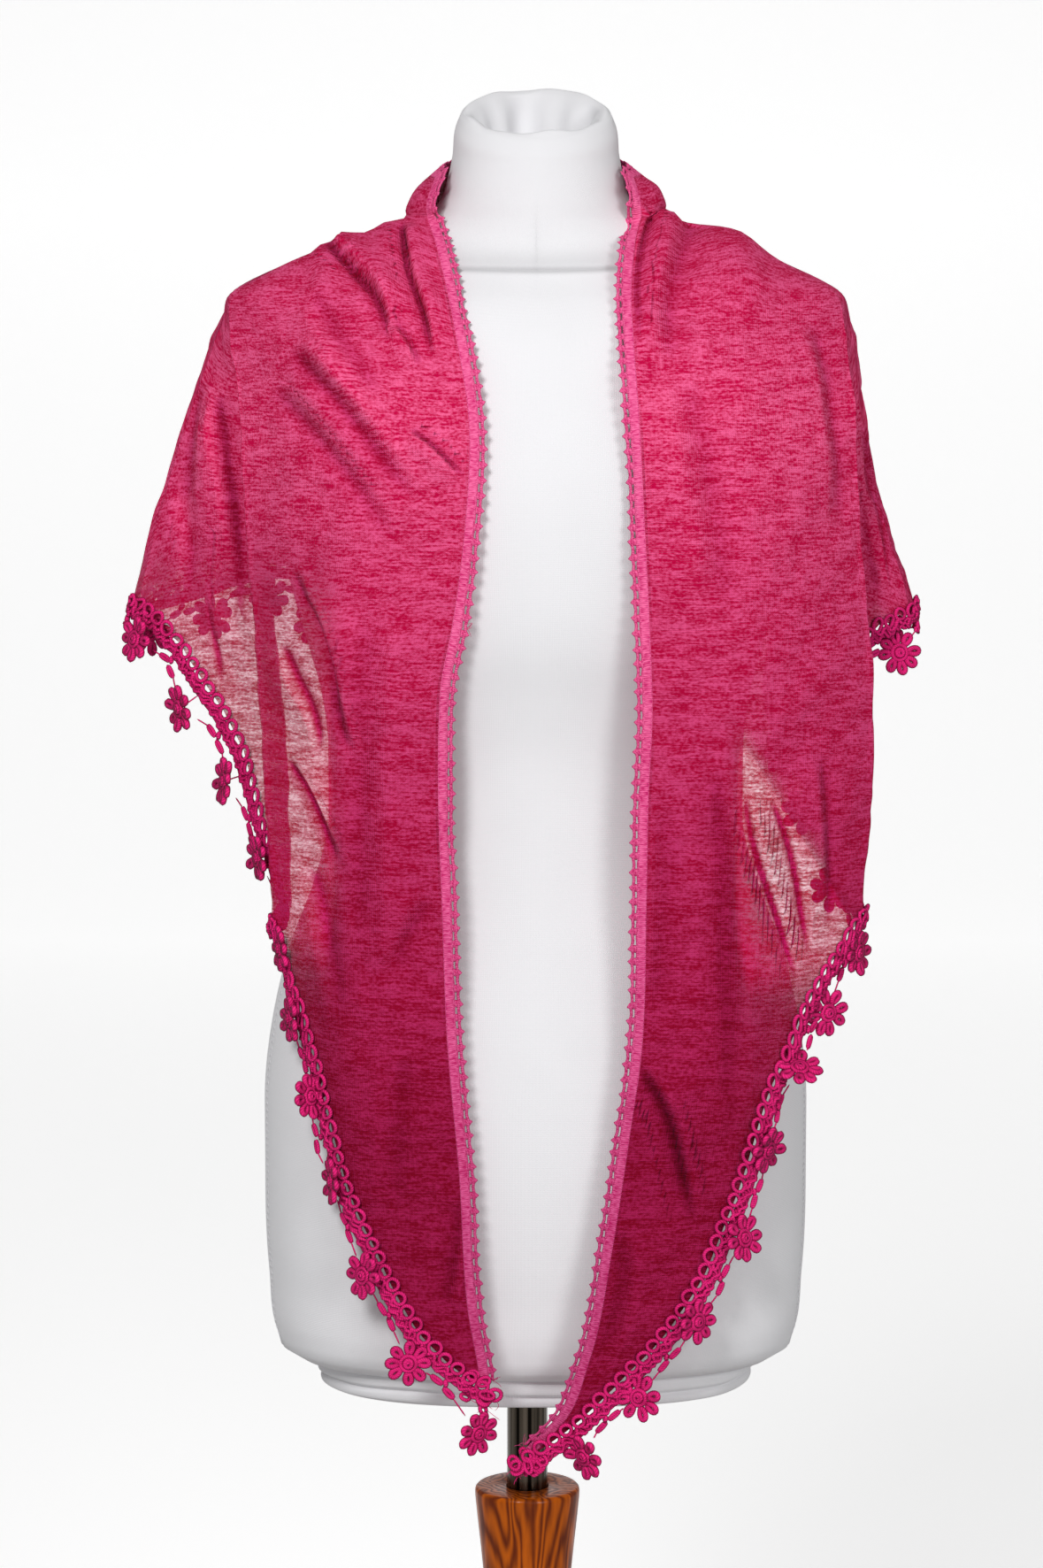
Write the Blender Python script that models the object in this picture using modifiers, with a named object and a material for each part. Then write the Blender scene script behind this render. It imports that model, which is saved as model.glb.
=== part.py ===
"""Knitted foulard scarf with flower lace, draped on a limbless dress form and its tripod stand.

Metres, +Z up. The origin is on the floor under the pole. The front of the form looks along -Y and
the viewer's right is +X. "Left" and "right" are the viewer's.

The scarf is one triangle of knit. Its long edge runs down both fronts and round the neck with a
picot tape, and flower lace hangs from its two short sides, the hem.
"""

import math

import bmesh
import bpy
import numpy as np


def table(columns, rows):
    """Returns the rows as a dictionary of one array for each named column."""
    return dict(zip(columns.split(), np.array(rows, float).T))


COLLECTION = "foulard_on_dress_form"

# Stand
POLE_RADIUS = 0.0125
HUB_TOP = 0.460
HUB_BOTTOM = 0.285
BORE_FLOOR = 0.365
BORE_RADIUS = 0.0129
LEG_ROOT = 0.0288
LEG_REACH = 0.240
LEG_THICKNESS = 0.022
LEG_ROUNDING = 0.002
LEG_COUNT = 3
TOUCH = 0.0003

# Dress form
FORM_CENTRE_X = 0.005
FORM_BOTTOM = 0.548
RIM_BOTTOM = 0.528
FORM_SIDES = 32
FORM_RINGS = table(
    "height half front back power",
    (
        (0.548, 0.146, 0.083, 0.092, 2.5),
        (0.552, 0.154, 0.090, 0.099, 2.5),
        (0.562, 0.159, 0.095, 0.104, 2.5),
        (0.600, 0.164, 0.100, 0.110, 2.4),
        (0.650, 0.166, 0.104, 0.116, 2.4),
        (0.705, 0.166, 0.105, 0.118, 2.4),
        (0.755, 0.161, 0.102, 0.114, 2.3),
        (0.800, 0.150, 0.096, 0.105, 2.3),
        (0.840, 0.135, 0.090, 0.095, 2.3),
        (0.880, 0.126, 0.087, 0.089, 2.3),
        (0.920, 0.126, 0.089, 0.087, 2.3),
        (0.955, 0.130, 0.097, 0.089, 2.3),
        (0.985, 0.138, 0.106, 0.093, 2.3),
        (1.020, 0.148, 0.112, 0.098, 2.3),
        (1.060, 0.156, 0.114, 0.104, 2.3),
        (1.100, 0.164, 0.110, 0.108, 2.3),
        (1.140, 0.172, 0.101, 0.108, 2.2),
        (1.165, 0.178, 0.092, 0.104, 2.2),
        (1.187, 0.181, 0.079, 0.091, 1.95),
        (1.199, 0.165, 0.071, 0.081, 1.8),
        (1.210, 0.143, 0.064, 0.072, 1.65),
        (1.220, 0.117, 0.058, 0.065, 1.5),
        (1.229, 0.091, 0.054, 0.059, 1.45),
        (1.237, 0.071, 0.052, 0.056, 1.6),
        (1.247, 0.059, 0.051, 0.055, 1.9),
        (1.262, 0.053, 0.050, 0.053, 2.0),
    ),
)
# The neck's top leans forward, so its rings tilt: height is at the axis and tilt is rise over depth.
NECK_RINGS = table(
    "height half front back tilt",
    (
        (1.276, 0.050, 0.049, 0.052, 0.18),
        (1.293, 0.048, 0.047, 0.051, 0.36),
        (1.300, 0.045, 0.044, 0.048, 0.38),
        (1.301, 0.040, 0.039, 0.043, 0.38),
        (1.294, 0.035, 0.034, 0.038, 0.36),
        (1.277, 0.031, 0.030, 0.033, 0.25),
        (1.270, 0.022, 0.021, 0.024, 0.15),
    ),
)

# Scarf
CLOTH_WALL = 0.0012
LACE_WALL = 0.0016
TAPE_WALL = 0.0014
TAPE_WIDTH = 0.009
SEAM_GAP = 0.0005
BEND_GAP = 0.0015
LEAST_SEAM_COSINE = 0.25
CLEARANCE = 0.0034
YOKE_DROP = 0.0035
HANG_TOP = 1.165
SHORTEST_SPAN = 0.0004
WIDEST_EDGE = 0.985
YOKE_BLEND = 0.045
COLLAR_FOOT = 1.232
COLLAR_RISE = 0.010

# Each half of the scarf is read round the body at named stations, from the front edge to the
# centre of the back. Between fold and wing the cloth turns back on itself, as a flat pleat.
STATIONS = (
    "edge chest fold_in fold fold_out under_in under under_out flap "
    "wing_in wing wing_out back_side back centre"
).split()
# Share of the way from the front edge round to the side, then from the side to the centre back.
YOKE_SHARE = (0, 0.46, 0.80, 0.83, 0.86, 0.88, 0.90, 0.92, 0.95, 0.975, 1, 1.03, 1.22, 1.50, 2)
CAD_STATIONS = (
    (0, 0.33, 0.67, 1, 1.33, 1.67, 2, 2.5, 3, 3.5, 4, 5, 5.5, 6, 6.5, 7, 7.5, 8)
    + (8.5, 9, 9.5, 10, 10.5, 11, 12, 13, 13.5, 14)
)

# The collar stands away from the neck. Below it the yoke lies on the form's own shoulders.
COLLAR = table(
    "height half front back power",
    (
        (1.243, 0.078, 0.060, 0.067, 1.75),
        (1.252, 0.073, 0.057, 0.065, 1.95),
        (1.262, 0.063, 0.052, 0.061, 2.0),
    ),
)
YOKE_HEIGHTS = (1.262, 1.252, 1.243, 1.232, 1.222, 1.212, 1.201, 1.190, 1.178, 1.165)
HANG_ROWS = 10

# Distances are from the form's centre line, outwards on that side.
LEFT = table(
    "height edge fold under wing bend",
    (
        (0.500, 0.032, 0.153, 0.146, 0.250, 0.005),
        (0.556, 0.033, 0.153, 0.146, 0.250, 0.005),
        (0.600, 0.040, 0.153, 0.146, 0.250, 0.005),
        (0.680, 0.045, 0.154, 0.146, 0.250, 0.005),
        (0.760, 0.052, 0.155, 0.146, 0.250, 0.005),
        (0.840, 0.055, 0.156, 0.146, 0.250, 0.005),
        (0.900, 0.057, 0.161, 0.148, 0.250, 0.0045),
        (0.960, 0.056, 0.164, 0.151, 0.249, 0.004),
        (1.005, 0.048, 0.167, 0.155, 0.245, 0.0035),
        (1.060, 0.041, 0.171, 0.160, 0.230, 0.003),
        (1.120, 0.039, 0.175, 0.166, 0.211, 0.0025),
        (1.165, 0.046, 0.181, 0.175, 0.195, 0.002),
        (1.190, 0.051, 0.184, 0.180, 0.188, 0.002),
        (1.222, 0.059, 0.184, 0.180, 0.188, 0.002),
        (1.243, 0.065, 0.184, 0.180, 0.188, 0.002),
        (1.262, 0.060, 0.184, 0.180, 0.188, 0.002),
    ),
)
RIGHT = table(
    "height edge fold under wing bend",
    (
        (0.512, -0.005, 0.194, 0.160, 0.236, 0.005),
        (0.535, 0.017, 0.194, 0.160, 0.236, 0.005),
        (0.570, 0.031, 0.194, 0.160, 0.236, 0.005),
        (0.640, 0.045, 0.194, 0.160, 0.236, 0.005),
        (0.700, 0.054, 0.194, 0.160, 0.236, 0.005),
        (0.760, 0.062, 0.194, 0.160, 0.236, 0.005),
        (0.840, 0.064, 0.194, 0.158, 0.236, 0.005),
        (0.900, 0.065, 0.200, 0.155, 0.236, 0.0045),
        (0.950, 0.067, 0.200, 0.157, 0.235, 0.004),
        (1.005, 0.065, 0.196, 0.164, 0.229, 0.0035),
        (1.060, 0.062, 0.191, 0.172, 0.211, 0.003),
        (1.120, 0.059, 0.188, 0.178, 0.199, 0.0025),
        (1.165, 0.056, 0.184, 0.180, 0.192, 0.002),
        (1.190, 0.055, 0.183, 0.181, 0.187, 0.002),
        (1.222, 0.058, 0.183, 0.181, 0.187, 0.002),
        (1.243, 0.062, 0.183, 0.181, 0.187, 0.002),
        (1.262, 0.058, 0.183, 0.181, 0.187, 0.002),
    ),
)
# Depths below the yoke, the same on both sides. Minus is towards the front.
DEPTHS = table(
    "height edge chest fold wing back_side back centre",
    (
        (0.500, -0.122, -0.112, -0.066, 0.000, 0.062, 0.100, 0.124),
        (0.600, -0.121, -0.112, -0.066, 0.000, 0.062, 0.100, 0.124),
        (0.720, -0.118, -0.111, -0.066, 0.000, 0.062, 0.100, 0.124),
        (0.840, -0.113, -0.105, -0.064, 0.000, 0.060, 0.098, 0.120),
        (0.900, -0.112, -0.103, -0.062, 0.000, 0.058, 0.094, 0.118),
        (1.000, -0.118, -0.109, -0.057, 0.000, 0.052, 0.088, 0.117),
        (1.060, -0.120, -0.110, -0.052, 0.000, 0.050, 0.084, 0.116),
        (1.120, -0.113, -0.101, -0.043, 0.000, 0.048, 0.082, 0.115),
        (1.165, -0.098, -0.083, -0.030, 0.000, 0.044, 0.076, 0.108),
        (1.190, -0.083, -0.066, -0.018, 0.000, 0.036, 0.066, 0.095),
        (1.212, -0.070, -0.052, -0.010, 0.000, 0.028, 0.056, 0.080),
    ),
)
BACK_SIDE_OUT = 0.198
BACK_OUT = 0.150

# Height of the hem at each place round the body. A station may be a fraction.
LEFT_HEM = table(
    "station height",
    (
        (0, 0.556), (0.2, 0.565), (0.4, 0.577), (0.6, 0.595), (0.8, 0.619), (1, 0.643),
        (1.2, 0.674), (1.4, 0.718), (1.6, 0.756), (1.8, 0.786), (2, 0.814), (3, 0.822),
        (4, 0.826), (5, 0.8265), (6, 0.831), (7, 0.840), (7.5, 0.921), (8, 0.963),
        (8.5, 0.994), (9, 1.007), (10, 1.008), (11, 1.009), (12, 1.020), (13, 1.026),
        (14, 0.735),
    ),
)
RIGHT_HEM = table(
    "station height",
    (
        (0, 0.514), (0.13, 0.541), (0.26, 0.558), (0.4, 0.575), (0.6, 0.601), (0.8, 0.636),
        (1, 0.688), (1.15, 0.730), (1.3, 0.756), (1.5, 0.782), (1.75, 0.803), (2, 0.820),
        (3, 0.828), (4, 0.836), (5, 0.925), (6, 0.933), (7, 0.941), (8, 0.981), (9, 1.003),
        (10, 1.006), (11, 1.009), (12, 1.020), (13, 1.026), (14, 0.735),
    ),
)

# Lace: u runs along the hem and d outwards from it. Each repeat has a flower and two oval links,
# and a foot joins the links to the band.
LEFT_REPEATS = 20
RIGHT_REPEATS = 21
REPEAT = 0.052
BAND_WIDTH = 0.0068
FLOWER_AT = 0.015
FLOWER_OUT = 0.0206
PETALS = 8
PETAL_TIP = 0.0140
PETAL_ROOT = 0.0108
PETAL_TIP_SHARE = 0.12
LINKS_AT = (0.0355, 0.0455)
LINK_HALF = 0.0032
LINK_RISE = 0.0026
BAR_HALF = 0.0012
FOOT_HALF = 0.0035
LACE_SMOOTHING = 0.030
# Where the hem turns back through the pleat, the lace hangs down rather than out from it.
PLEAT_START = 2
PLEAT_END = 7
PLEAT_DROOP = 3.0
LEFT_OVERRUN = 0.022
RIGHT_OVERRUN = 0.002
APEX_GAP = 0.006
TAPE_END = 0.006
TAPE_GAP = 0.0008
TAPE_SMOOTHING = 0.006


def eased(at, knots, values):
    """Reads a column between its rows: cubic pieces whose slope at a row is its neighbours' mean."""
    slopes = np.gradient(values, knots)
    steep = np.abs(np.diff(values) / np.diff(knots))
    limit = 3 * np.minimum(np.append(steep, steep[-1]), np.insert(steep, 0, steep[0]))
    slopes = np.clip(slopes, -limit, limit)
    at = np.clip(at, knots[0], knots[-1])
    row = np.clip(np.searchsorted(knots, at, side="right") - 1, 0, len(knots) - 2)
    width = knots[row + 1] - knots[row]
    t = (at - knots[row]) / width
    start = (1 + 2 * t) * (1 - t) ** 2 * values[row] + t * (1 - t) ** 2 * width * slopes[row]
    end = t * t * (3 - 2 * t) * values[row + 1] + t * t * (t - 1) * width * slopes[row + 1]
    return start + end


def read(rows, column, at):
    return eased(np.asarray(at, float), rows["height"], rows[column])


def smooth_step(x):
    x = np.clip(x, 0, 1)
    return x * x * (3 - 2 * x)


def superellipse(angle, half, front, back, power):
    """Returns (outwards, depth) at an angle from the side, where plus 90 degrees is the front."""
    across = np.abs(np.cos(angle)) ** (2 / power) * np.sign(np.cos(angle)) * half
    reach = np.where(np.sin(angle) > 0, front, back)
    depth = -np.sign(np.sin(angle)) * np.abs(np.sin(angle)) ** (2 / power) * reach
    return across, depth


def yoke_ring(height):
    """Returns the scarf's half width, front, back and power at a height on the shoulders."""
    names = ("half", "front", "back", "power")
    spare = np.array((CLEARANCE, CLEARANCE, CLEARANCE, 0))
    on_form = np.array([read(FORM_RINGS, name, height - YOKE_DROP) for name in names]) + spare
    collar = np.array([read(COLLAR, name, height) for name in names])
    lift = smooth_step((height - COLLAR_FOOT) / (COLLAR["height"][0] - COLLAR_FOOT))
    return on_form + (collar - on_form) * lift


def ring_stations(side, height):
    """Returns the stations' (outwards, depth) where the scarf lies on the shoulders or neck."""
    half, front, back, power = yoke_ring(height)
    edge = min(float(read(side, "edge", height)) / half, WIDEST_EDGE)
    edge_angle = math.acos(edge ** (power / 2))
    share = np.array(YOKE_SHARE)
    angle = np.where(share <= 1, edge_angle * (1 - share), -(share - 1) * math.pi / 2)
    return np.stack(superellipse(angle, half, front, back, power), axis=1)


def hanging_stations(side, height):
    """Returns the stations' (outwards, depth) where the scarf hangs free below the shoulders."""
    edge, fold, under, wing, bend = (
        float(read(side, name, height)) for name in ("edge", "fold", "under", "wing", "bend")
    )
    deep = {name: float(read(DEPTHS, name, height)) for name in DEPTHS if name != "height"}
    bend = min(bend, 0.5 * (fold - under))
    behind = deep["fold"] + 2 * bend
    flap = (0.5 * (under + wing), 0.5 * (behind + bend + deep["wing"] - bend))
    return np.array(
        (
            (edge, deep["edge"]),
            (0.5 * (edge + fold), deep["chest"]),
            (fold - bend, deep["fold"] - bend),
            (fold, deep["fold"]),
            (fold - bend, deep["fold"] + bend),
            (under + bend, behind - bend),
            (under, behind),
            (under + bend, behind + bend),
            flap,
            (wing - bend, deep["wing"] - bend),
            (wing, deep["wing"]),
            (wing - bend, deep["wing"] + bend),
            (BACK_SIDE_OUT, deep["back_side"]),
            (BACK_OUT, deep["back"]),
            (0.0, deep["centre"]),
        )
    )


def clear_of_form(outwards, depth, height):
    """Moves points that come too near the form out to its section plus the clearance."""
    half, front, back, power = (
        read(FORM_RINGS, name, height) for name in ("half", "front", "back", "power")
    )
    half = half + CLEARANCE
    reach = np.where(depth < 0, front, back) + CLEARANCE
    inside = (np.abs(outwards / half) ** power + np.abs(depth / reach) ** power) ** (1 / power)
    grow = np.where(inside < 1, 1 / np.maximum(inside, 0.2), 1)
    return outwards * grow, depth * grow


def scarf_point_row(side, stations, heights):
    """Returns the points of one row, whose height may change from station to station."""
    points = np.empty((len(stations), 3))
    for i, (station, height) in enumerate(zip(stations, heights)):
        hang = smooth_step((HANG_TOP + YOKE_BLEND - height) / YOKE_BLEND)
        marks = hanging_stations(side, height)
        if hang < 1:
            marks = marks * hang + ring_stations(side, height) * (1 - hang)
        span = np.maximum(np.linalg.norm(np.diff(marks, axis=0), axis=1), SHORTEST_SPAN)
        knots = np.insert(np.cumsum(span), 0, 0)
        at = np.interp(station, np.arange(len(STATIONS)), knots)
        outwards, depth = (float(eased(at, knots, marks[:, k])) for k in (0, 1))
        points[i] = (*clear_of_form(outwards, depth, height), height)
    return points


def scarf_grid(side, hem, outward_sign):
    """Returns one half of the scarf as points [station, row], from collar to hem."""
    stations = np.array(CAD_STATIONS)
    hem_height = eased(stations, hem["station"], hem["height"])
    rise = COLLAR_RISE * np.sin(0.5 * math.pi * stations / stations[-1])
    rows = []
    for i, level in enumerate(YOKE_HEIGHTS):
        fade = smooth_step((level - COLLAR_FOOT) / (YOKE_HEIGHTS[0] - COLLAR_FOOT))
        rows.append(scarf_point_row(side, stations, np.full(len(stations), level)))
        rows[-1][:, 2] += rise * fade
    for i in range(1, HANG_ROWS + 1):
        heights = HANG_TOP + (hem_height - HANG_TOP) * i / HANG_ROWS
        rows.append(scarf_point_row(side, stations, heights))
    grid = np.stack(rows, axis=1)
    grid[..., 0] = FORM_CENTRE_X + outward_sign * grid[..., 0]
    return grid


def material(name, colour, roughness, metallic=0.0):
    made = bpy.data.materials.new(name)
    made.use_nodes = True
    shader = made.node_tree.nodes["Principled BSDF"]
    shader.inputs["Base Color"].default_value = (*colour, 1)
    shader.inputs["Roughness"].default_value = roughness
    shader.inputs["Metallic"].default_value = metallic
    return made


def add_object(name, mesh, finish, smooth=True):
    mesh.materials.append(finish)
    if smooth:
        mesh.shade_smooth()
    made = bpy.data.objects.new(name, mesh)
    bpy.data.collections[COLLECTION].objects.link(made)
    return made


def mesh_of(name, points, faces):
    mesh = bpy.data.meshes.new(name)
    mesh.from_pydata([tuple(p) for p in np.reshape(points, (-1, 3))], [], faces)
    mesh.update()
    return mesh


def grid_faces(columns, rows, closed=False):
    """Returns the quads of a grid whose point number is column * rows + row."""
    faces = []
    for i in range(columns if closed else columns - 1):
        k = (i + 1) % columns
        for j in range(rows - 1):
            faces.append((i * rows + j, k * rows + j, k * rows + j + 1, i * rows + j + 1))
    return faces


def face_outwards(mesh):
    work = bmesh.new()
    work.from_mesh(mesh)
    bmesh.ops.recalc_face_normals(work, faces=work.faces)
    work.to_mesh(mesh)
    work.free()


def add_wall(obj, thickness):
    wall = obj.modifiers.new("wall", "SOLIDIFY")
    wall.thickness = thickness
    wall.offset = 0
    wall.use_even_offset = True


def ring_loop(half, front, back, power, height, tilt=0.0):
    """Returns the points of one level ring of the form, tilted about the X axis if asked."""
    angle = np.arange(FORM_SIDES) * 2 * math.pi / FORM_SIDES
    across, depth = superellipse(angle, half, front, back, power)
    return np.stack((FORM_CENTRE_X + across, depth, height + tilt * depth), axis=1)


def build_form_body():
    rings = [
        ring_loop(*(FORM_RINGS[name][i] for name in ("half", "front", "back", "power", "height")))
        for i in range(len(FORM_RINGS["height"]))
    ]
    rings += [
        ring_loop(*(NECK_RINGS[name][i] for name in ("half", "front", "back")), 2.0,
                  NECK_RINGS["height"][i], NECK_RINGS["tilt"][i])
        for i in range(len(NECK_RINGS["height"]))
    ]
    points = np.stack(rings, axis=1)
    count = points.shape[1]
    faces = grid_faces(FORM_SIDES, count, closed=True)
    faces.append([i * count for i in range(FORM_SIDES)])
    faces.append([i * count + count - 1 for i in range(FORM_SIDES)])
    mesh = mesh_of("form_body", points, faces)
    face_outwards(mesh)
    add_object("form_body", mesh, material("white_jersey", (0.86, 0.87, 0.88), 0.85))


def build_form_rim():
    """Low foot under the torso, narrower than it, that hides the pole's socket."""
    rows = ((RIM_BOTTOM, 0.128, 0.072, 0.080), (RIM_BOTTOM + 0.003, 0.133, 0.077, 0.085),
            (FORM_BOTTOM - TOUCH, 0.135, 0.079, 0.087))
    rings = [ring_loop(half, front, back, 2.5, height) for height, half, front, back in rows]
    points = np.stack(rings, axis=1)
    faces = grid_faces(FORM_SIDES, len(rows), closed=True)
    faces.append([i * len(rows) for i in range(FORM_SIDES)])
    faces.append([i * len(rows) + len(rows) - 1 for i in range(FORM_SIDES)])
    mesh = mesh_of("form_base_rim", points, faces)
    face_outwards(mesh)
    add_object("form_base_rim", mesh, material("white_rim", (0.80, 0.81, 0.83), 0.6))


def build_pole():
    bottom, top = BORE_FLOOR + TOUCH, RIM_BOTTOM - TOUCH
    bpy.ops.mesh.primitive_cylinder_add(
        vertices=32, radius=POLE_RADIUS, depth=top - bottom, location=(0, 0, 0.5 * (top + bottom))
    )
    pole = bpy.context.object
    pole.name = pole.data.name = "stand_pole"
    for collection in pole.users_collection:
        collection.objects.unlink(pole)
    bpy.data.collections[COLLECTION].objects.link(pole)
    pole.data.materials.append(material("dark_chrome", (0.10, 0.10, 0.11), 0.25, 1.0))
    pole.data.shade_smooth()


def build_hub():
    """Turned wooden hub with a blind bore that holds the pole."""
    profile = (
        (0.0, BORE_FLOOR), (BORE_RADIUS, BORE_FLOOR), (BORE_RADIUS, HUB_TOP),
        (0.0300, HUB_TOP), (0.0318, HUB_TOP - 0.0008), (0.0325, HUB_TOP - 0.0030),
        (0.0322, HUB_TOP - 0.0080), (0.0270, HUB_TOP - 0.0560), (0.0262, HUB_TOP - 0.0700),
        (0.0285, HUB_TOP - 0.0780), (0.0285, HUB_BOTTOM + 0.0200), (0.0240, HUB_BOTTOM + 0.0060),
        (0.0150, HUB_BOTTOM), (0.0, HUB_BOTTOM),
    )
    work = bmesh.new()
    verts = [work.verts.new((x, 0, z)) for x, z in profile]
    for a, b in zip(verts, verts[1:]):
        work.edges.new((a, b))
    mesh = bpy.data.meshes.new("stand_hub")
    work.to_mesh(mesh)
    work.free()
    hub = add_object("stand_hub", mesh, material("honey_wood", (0.42, 0.17, 0.05), 0.3))
    turn = hub.modifiers.new("turn", "SCREW")
    turn.steps = turn.render_steps = 32
    turn.use_merge_vertices = True
    turn.merge_threshold = 0.0001
    turn.use_normal_calculate = True
    turn.use_smooth_shade = True


def build_legs():
    """Sawn wooden legs: a curved outline in the XZ plane, extruded to the leg's thickness."""
    upper = ((LEG_ROOT, 0.372), (0.070, 0.330), (0.130, 0.215), (0.185, 0.100))
    upper += ((LEG_REACH, 0.012),)
    lower = ((LEG_REACH, 0.0), (0.200, 0.0), (0.158, 0.082), (0.104, 0.190), (0.055, 0.285))
    lower += ((LEG_ROOT, 0.312),)
    finish = material("leg_wood", (0.40, 0.16, 0.05), 0.35)
    for number in range(LEG_COUNT):
        curve = bpy.data.curves.new(f"stand_leg_{number + 1}", "CURVE")
        curve.dimensions = "2D"
        curve.fill_mode = "BOTH"
        curve.extrude = 0.5 * LEG_THICKNESS - LEG_ROUNDING
        curve.bevel_depth = LEG_ROUNDING
        curve.bevel_resolution = 1
        curve.offset = -LEG_ROUNDING
        spline = curve.splines.new("POLY")
        spline.points.add(len(upper) + len(lower) - 1)
        for point, (x, z) in zip(spline.points, upper + lower):
            point.co = (x, z, 0, 1)
        spline.use_cyclic_u = True
        curve.materials.append(finish)
        leg = bpy.data.objects.new(curve.name, curve)
        leg.rotation_euler = (0.5 * math.pi, 0, number * 2 * math.pi / LEG_COUNT)
        bpy.data.collections[COLLECTION].objects.link(leg)
        leg.modifiers.new("weld", "WELD").merge_threshold = 0.00005


def unit(vectors):
    return vectors / np.maximum(np.linalg.norm(vectors, axis=-1, keepdims=True), 1e-9)


def edge_frames(path, inner):
    """Returns the length so far and the direction out of the cloth at each point of its edge.

    path: the points of a cloth edge, in order. inner: the next points into the cloth.
    """
    along = unit(np.gradient(path, axis=0))
    outward = path - inner
    outward = unit(outward - (outward * along).sum(axis=1, keepdims=True) * along)
    length = np.insert(np.cumsum(np.linalg.norm(np.diff(path, axis=0), axis=1)), 0, 0)
    return length, outward


def smoothed(values, length, reach):
    """Averages directions along an edge with a bell weight of the given reach."""
    weight = np.exp(-0.5 * ((length[:, None] - length[None, :]) / reach) ** 2)
    step = np.gradient(length)
    return unit((weight * step) @ values)


def sample(at, length, values):
    return np.stack([np.interp(at, length, values[:, k]) for k in range(3)], axis=-1)


def flower_outline():
    """Returns the flower's points, three for each petal, from the petal that meets the band."""
    step = 2 * math.pi / PETALS
    ring = []
    for petal in range(PETALS):
        turn = -0.5 * math.pi + petal * step
        for radius, angle in (
            (PETAL_TIP, turn - PETAL_TIP_SHARE * step),
            (PETAL_TIP, turn + PETAL_TIP_SHARE * step),
            (PETAL_ROOT, turn + 0.5 * step),
        ):
            u = FLOWER_AT + radius * math.cos(angle)
            ring.append((u, FLOWER_OUT + radius * math.sin(angle)))
    return ring


def petal_edge(ring, turn):
    """Returns the two tip points of the petal that lies a share of a turn past the first."""
    first = 3 * int(turn * PETALS)
    return ring[first], ring[first + 1]


def lace_repeat():
    """Returns the faces of one repeat as outlines of (u, d), which share whole edges."""
    flower = flower_outline()
    faces = [flower]
    upper_petal, right_petal, left_petal = (petal_edge(flower, turn) for turn in (0, 0.25, 0.75))
    sides = []
    for at in LINKS_AT:
        left, right = (
            ((u, FLOWER_OUT - BAR_HALF), (u, FLOWER_OUT + BAR_HALF))
            for u in (at - LINK_HALF, at + LINK_HALF)
        )
        upper, lower = (at, FLOWER_OUT - LINK_RISE), (at, FLOWER_OUT + LINK_RISE)
        faces.append([left[0], upper, right[0], right[1], lower, left[1]])
        sides.append((left, right))
    (first_left, first_right), (second_left, second_right) = sides
    next_petal = [(u + REPEAT, d) for u, d in left_petal]
    faces.append([right_petal[0], first_left[0], first_left[1], right_petal[1]])
    faces.append([first_right[0], second_left[0], second_left[1], first_right[1]])
    faces.append([second_right[0], next_petal[1], next_petal[0], second_right[1]])
    middle = 0.5 * sum(LINKS_AT)
    foot = ((middle - FOOT_HALF, BAND_WIDTH), (middle + FOOT_HALF, BAND_WIDTH))
    faces.append([foot[0], foot[1], second_left[0], first_right[0]])
    quarter = 0.5 * (upper_petal[1][0] + foot[0][0])
    lower_edge = [(0.0, BAND_WIDTH), *upper_petal, (quarter, BAND_WIDTH), *foot]
    lower_edge.append((REPEAT, BAND_WIDTH))
    for (u0, d0), (u1, d1) in zip(lower_edge, lower_edge[1:]):
        faces.append([(u0, 0.0), (u1, 0.0), (u1, d1), (u0, d0)])
    return faces


def flat_lace(repeats):
    """Returns a bmesh of the whole lace strip laid flat, as x = u and y = d."""
    work = bmesh.new()
    end = repeats * REPEAT + 1e-6
    for number in range(repeats):
        for face in lace_repeat():
            outline = [(u + number * REPEAT, d) for u, d in face]
            if max(u for u, _ in outline) < end:
                work.faces.new([work.verts.new((u, d, 0)) for u, d in outline])
    bmesh.ops.remove_doubles(work, verts=work.verts, dist=0.0001)
    return work


def build_lace(name, grid, repeats, overrun, sign, finish):
    """Flower lace, cut through between its flowers, links and bars, carried along the hem."""
    tip_ahead = grid[0, -1] + overrun * unit(grid[0, -1] - grid[1, -1])
    path = np.concatenate(([tip_ahead], grid[:, -1]))
    inner = np.concatenate(([tip_ahead + grid[0, -2] - grid[0, -1]], grid[:, -2]))
    length, outward = edge_frames(path, inner)
    pleat = np.interp((PLEAT_START, PLEAT_END), (0, *CAD_STATIONS), length)
    droop = np.exp(-0.5 * ((length - pleat.mean()) / (0.5 * np.ptp(pleat) + LACE_SMOOTHING)) ** 2)
    hang = smoothed(outward, length, LACE_SMOOTHING) + PLEAT_DROOP * droop[:, None] * (0, 0, -1)
    hang = unit(hang)
    work = flat_lace(repeats)
    flat = np.array([vert.co[:] for vert in work.verts])
    at = flat[:, 0] * (length[-1] - APEX_GAP) / (repeats * REPEAT)
    seam = SEAM_GAP / np.clip((hang * outward).sum(axis=1), LEAST_SEAM_COSINE, 1)
    reach = np.interp(at, length, seam + BEND_GAP * droop) + flat[:, 1]
    placed = sample(at, length, path) + sample(at, length, hang) * reach[:, None]
    across = (placed[:, 0] - FORM_CENTRE_X) * sign
    across, placed[:, 1] = clear_of_form(across, placed[:, 1], placed[:, 2])
    placed[:, 0] = FORM_CENTRE_X + sign * across
    for vert, point in zip(work.verts, placed):
        vert.co = point
    if sign > 0:
        bmesh.ops.reverse_faces(work, faces=work.faces)
    mesh = bpy.data.meshes.new(name)
    work.to_mesh(mesh)
    work.free()
    add_wall(add_object(name, mesh, finish), LACE_WALL)


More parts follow.
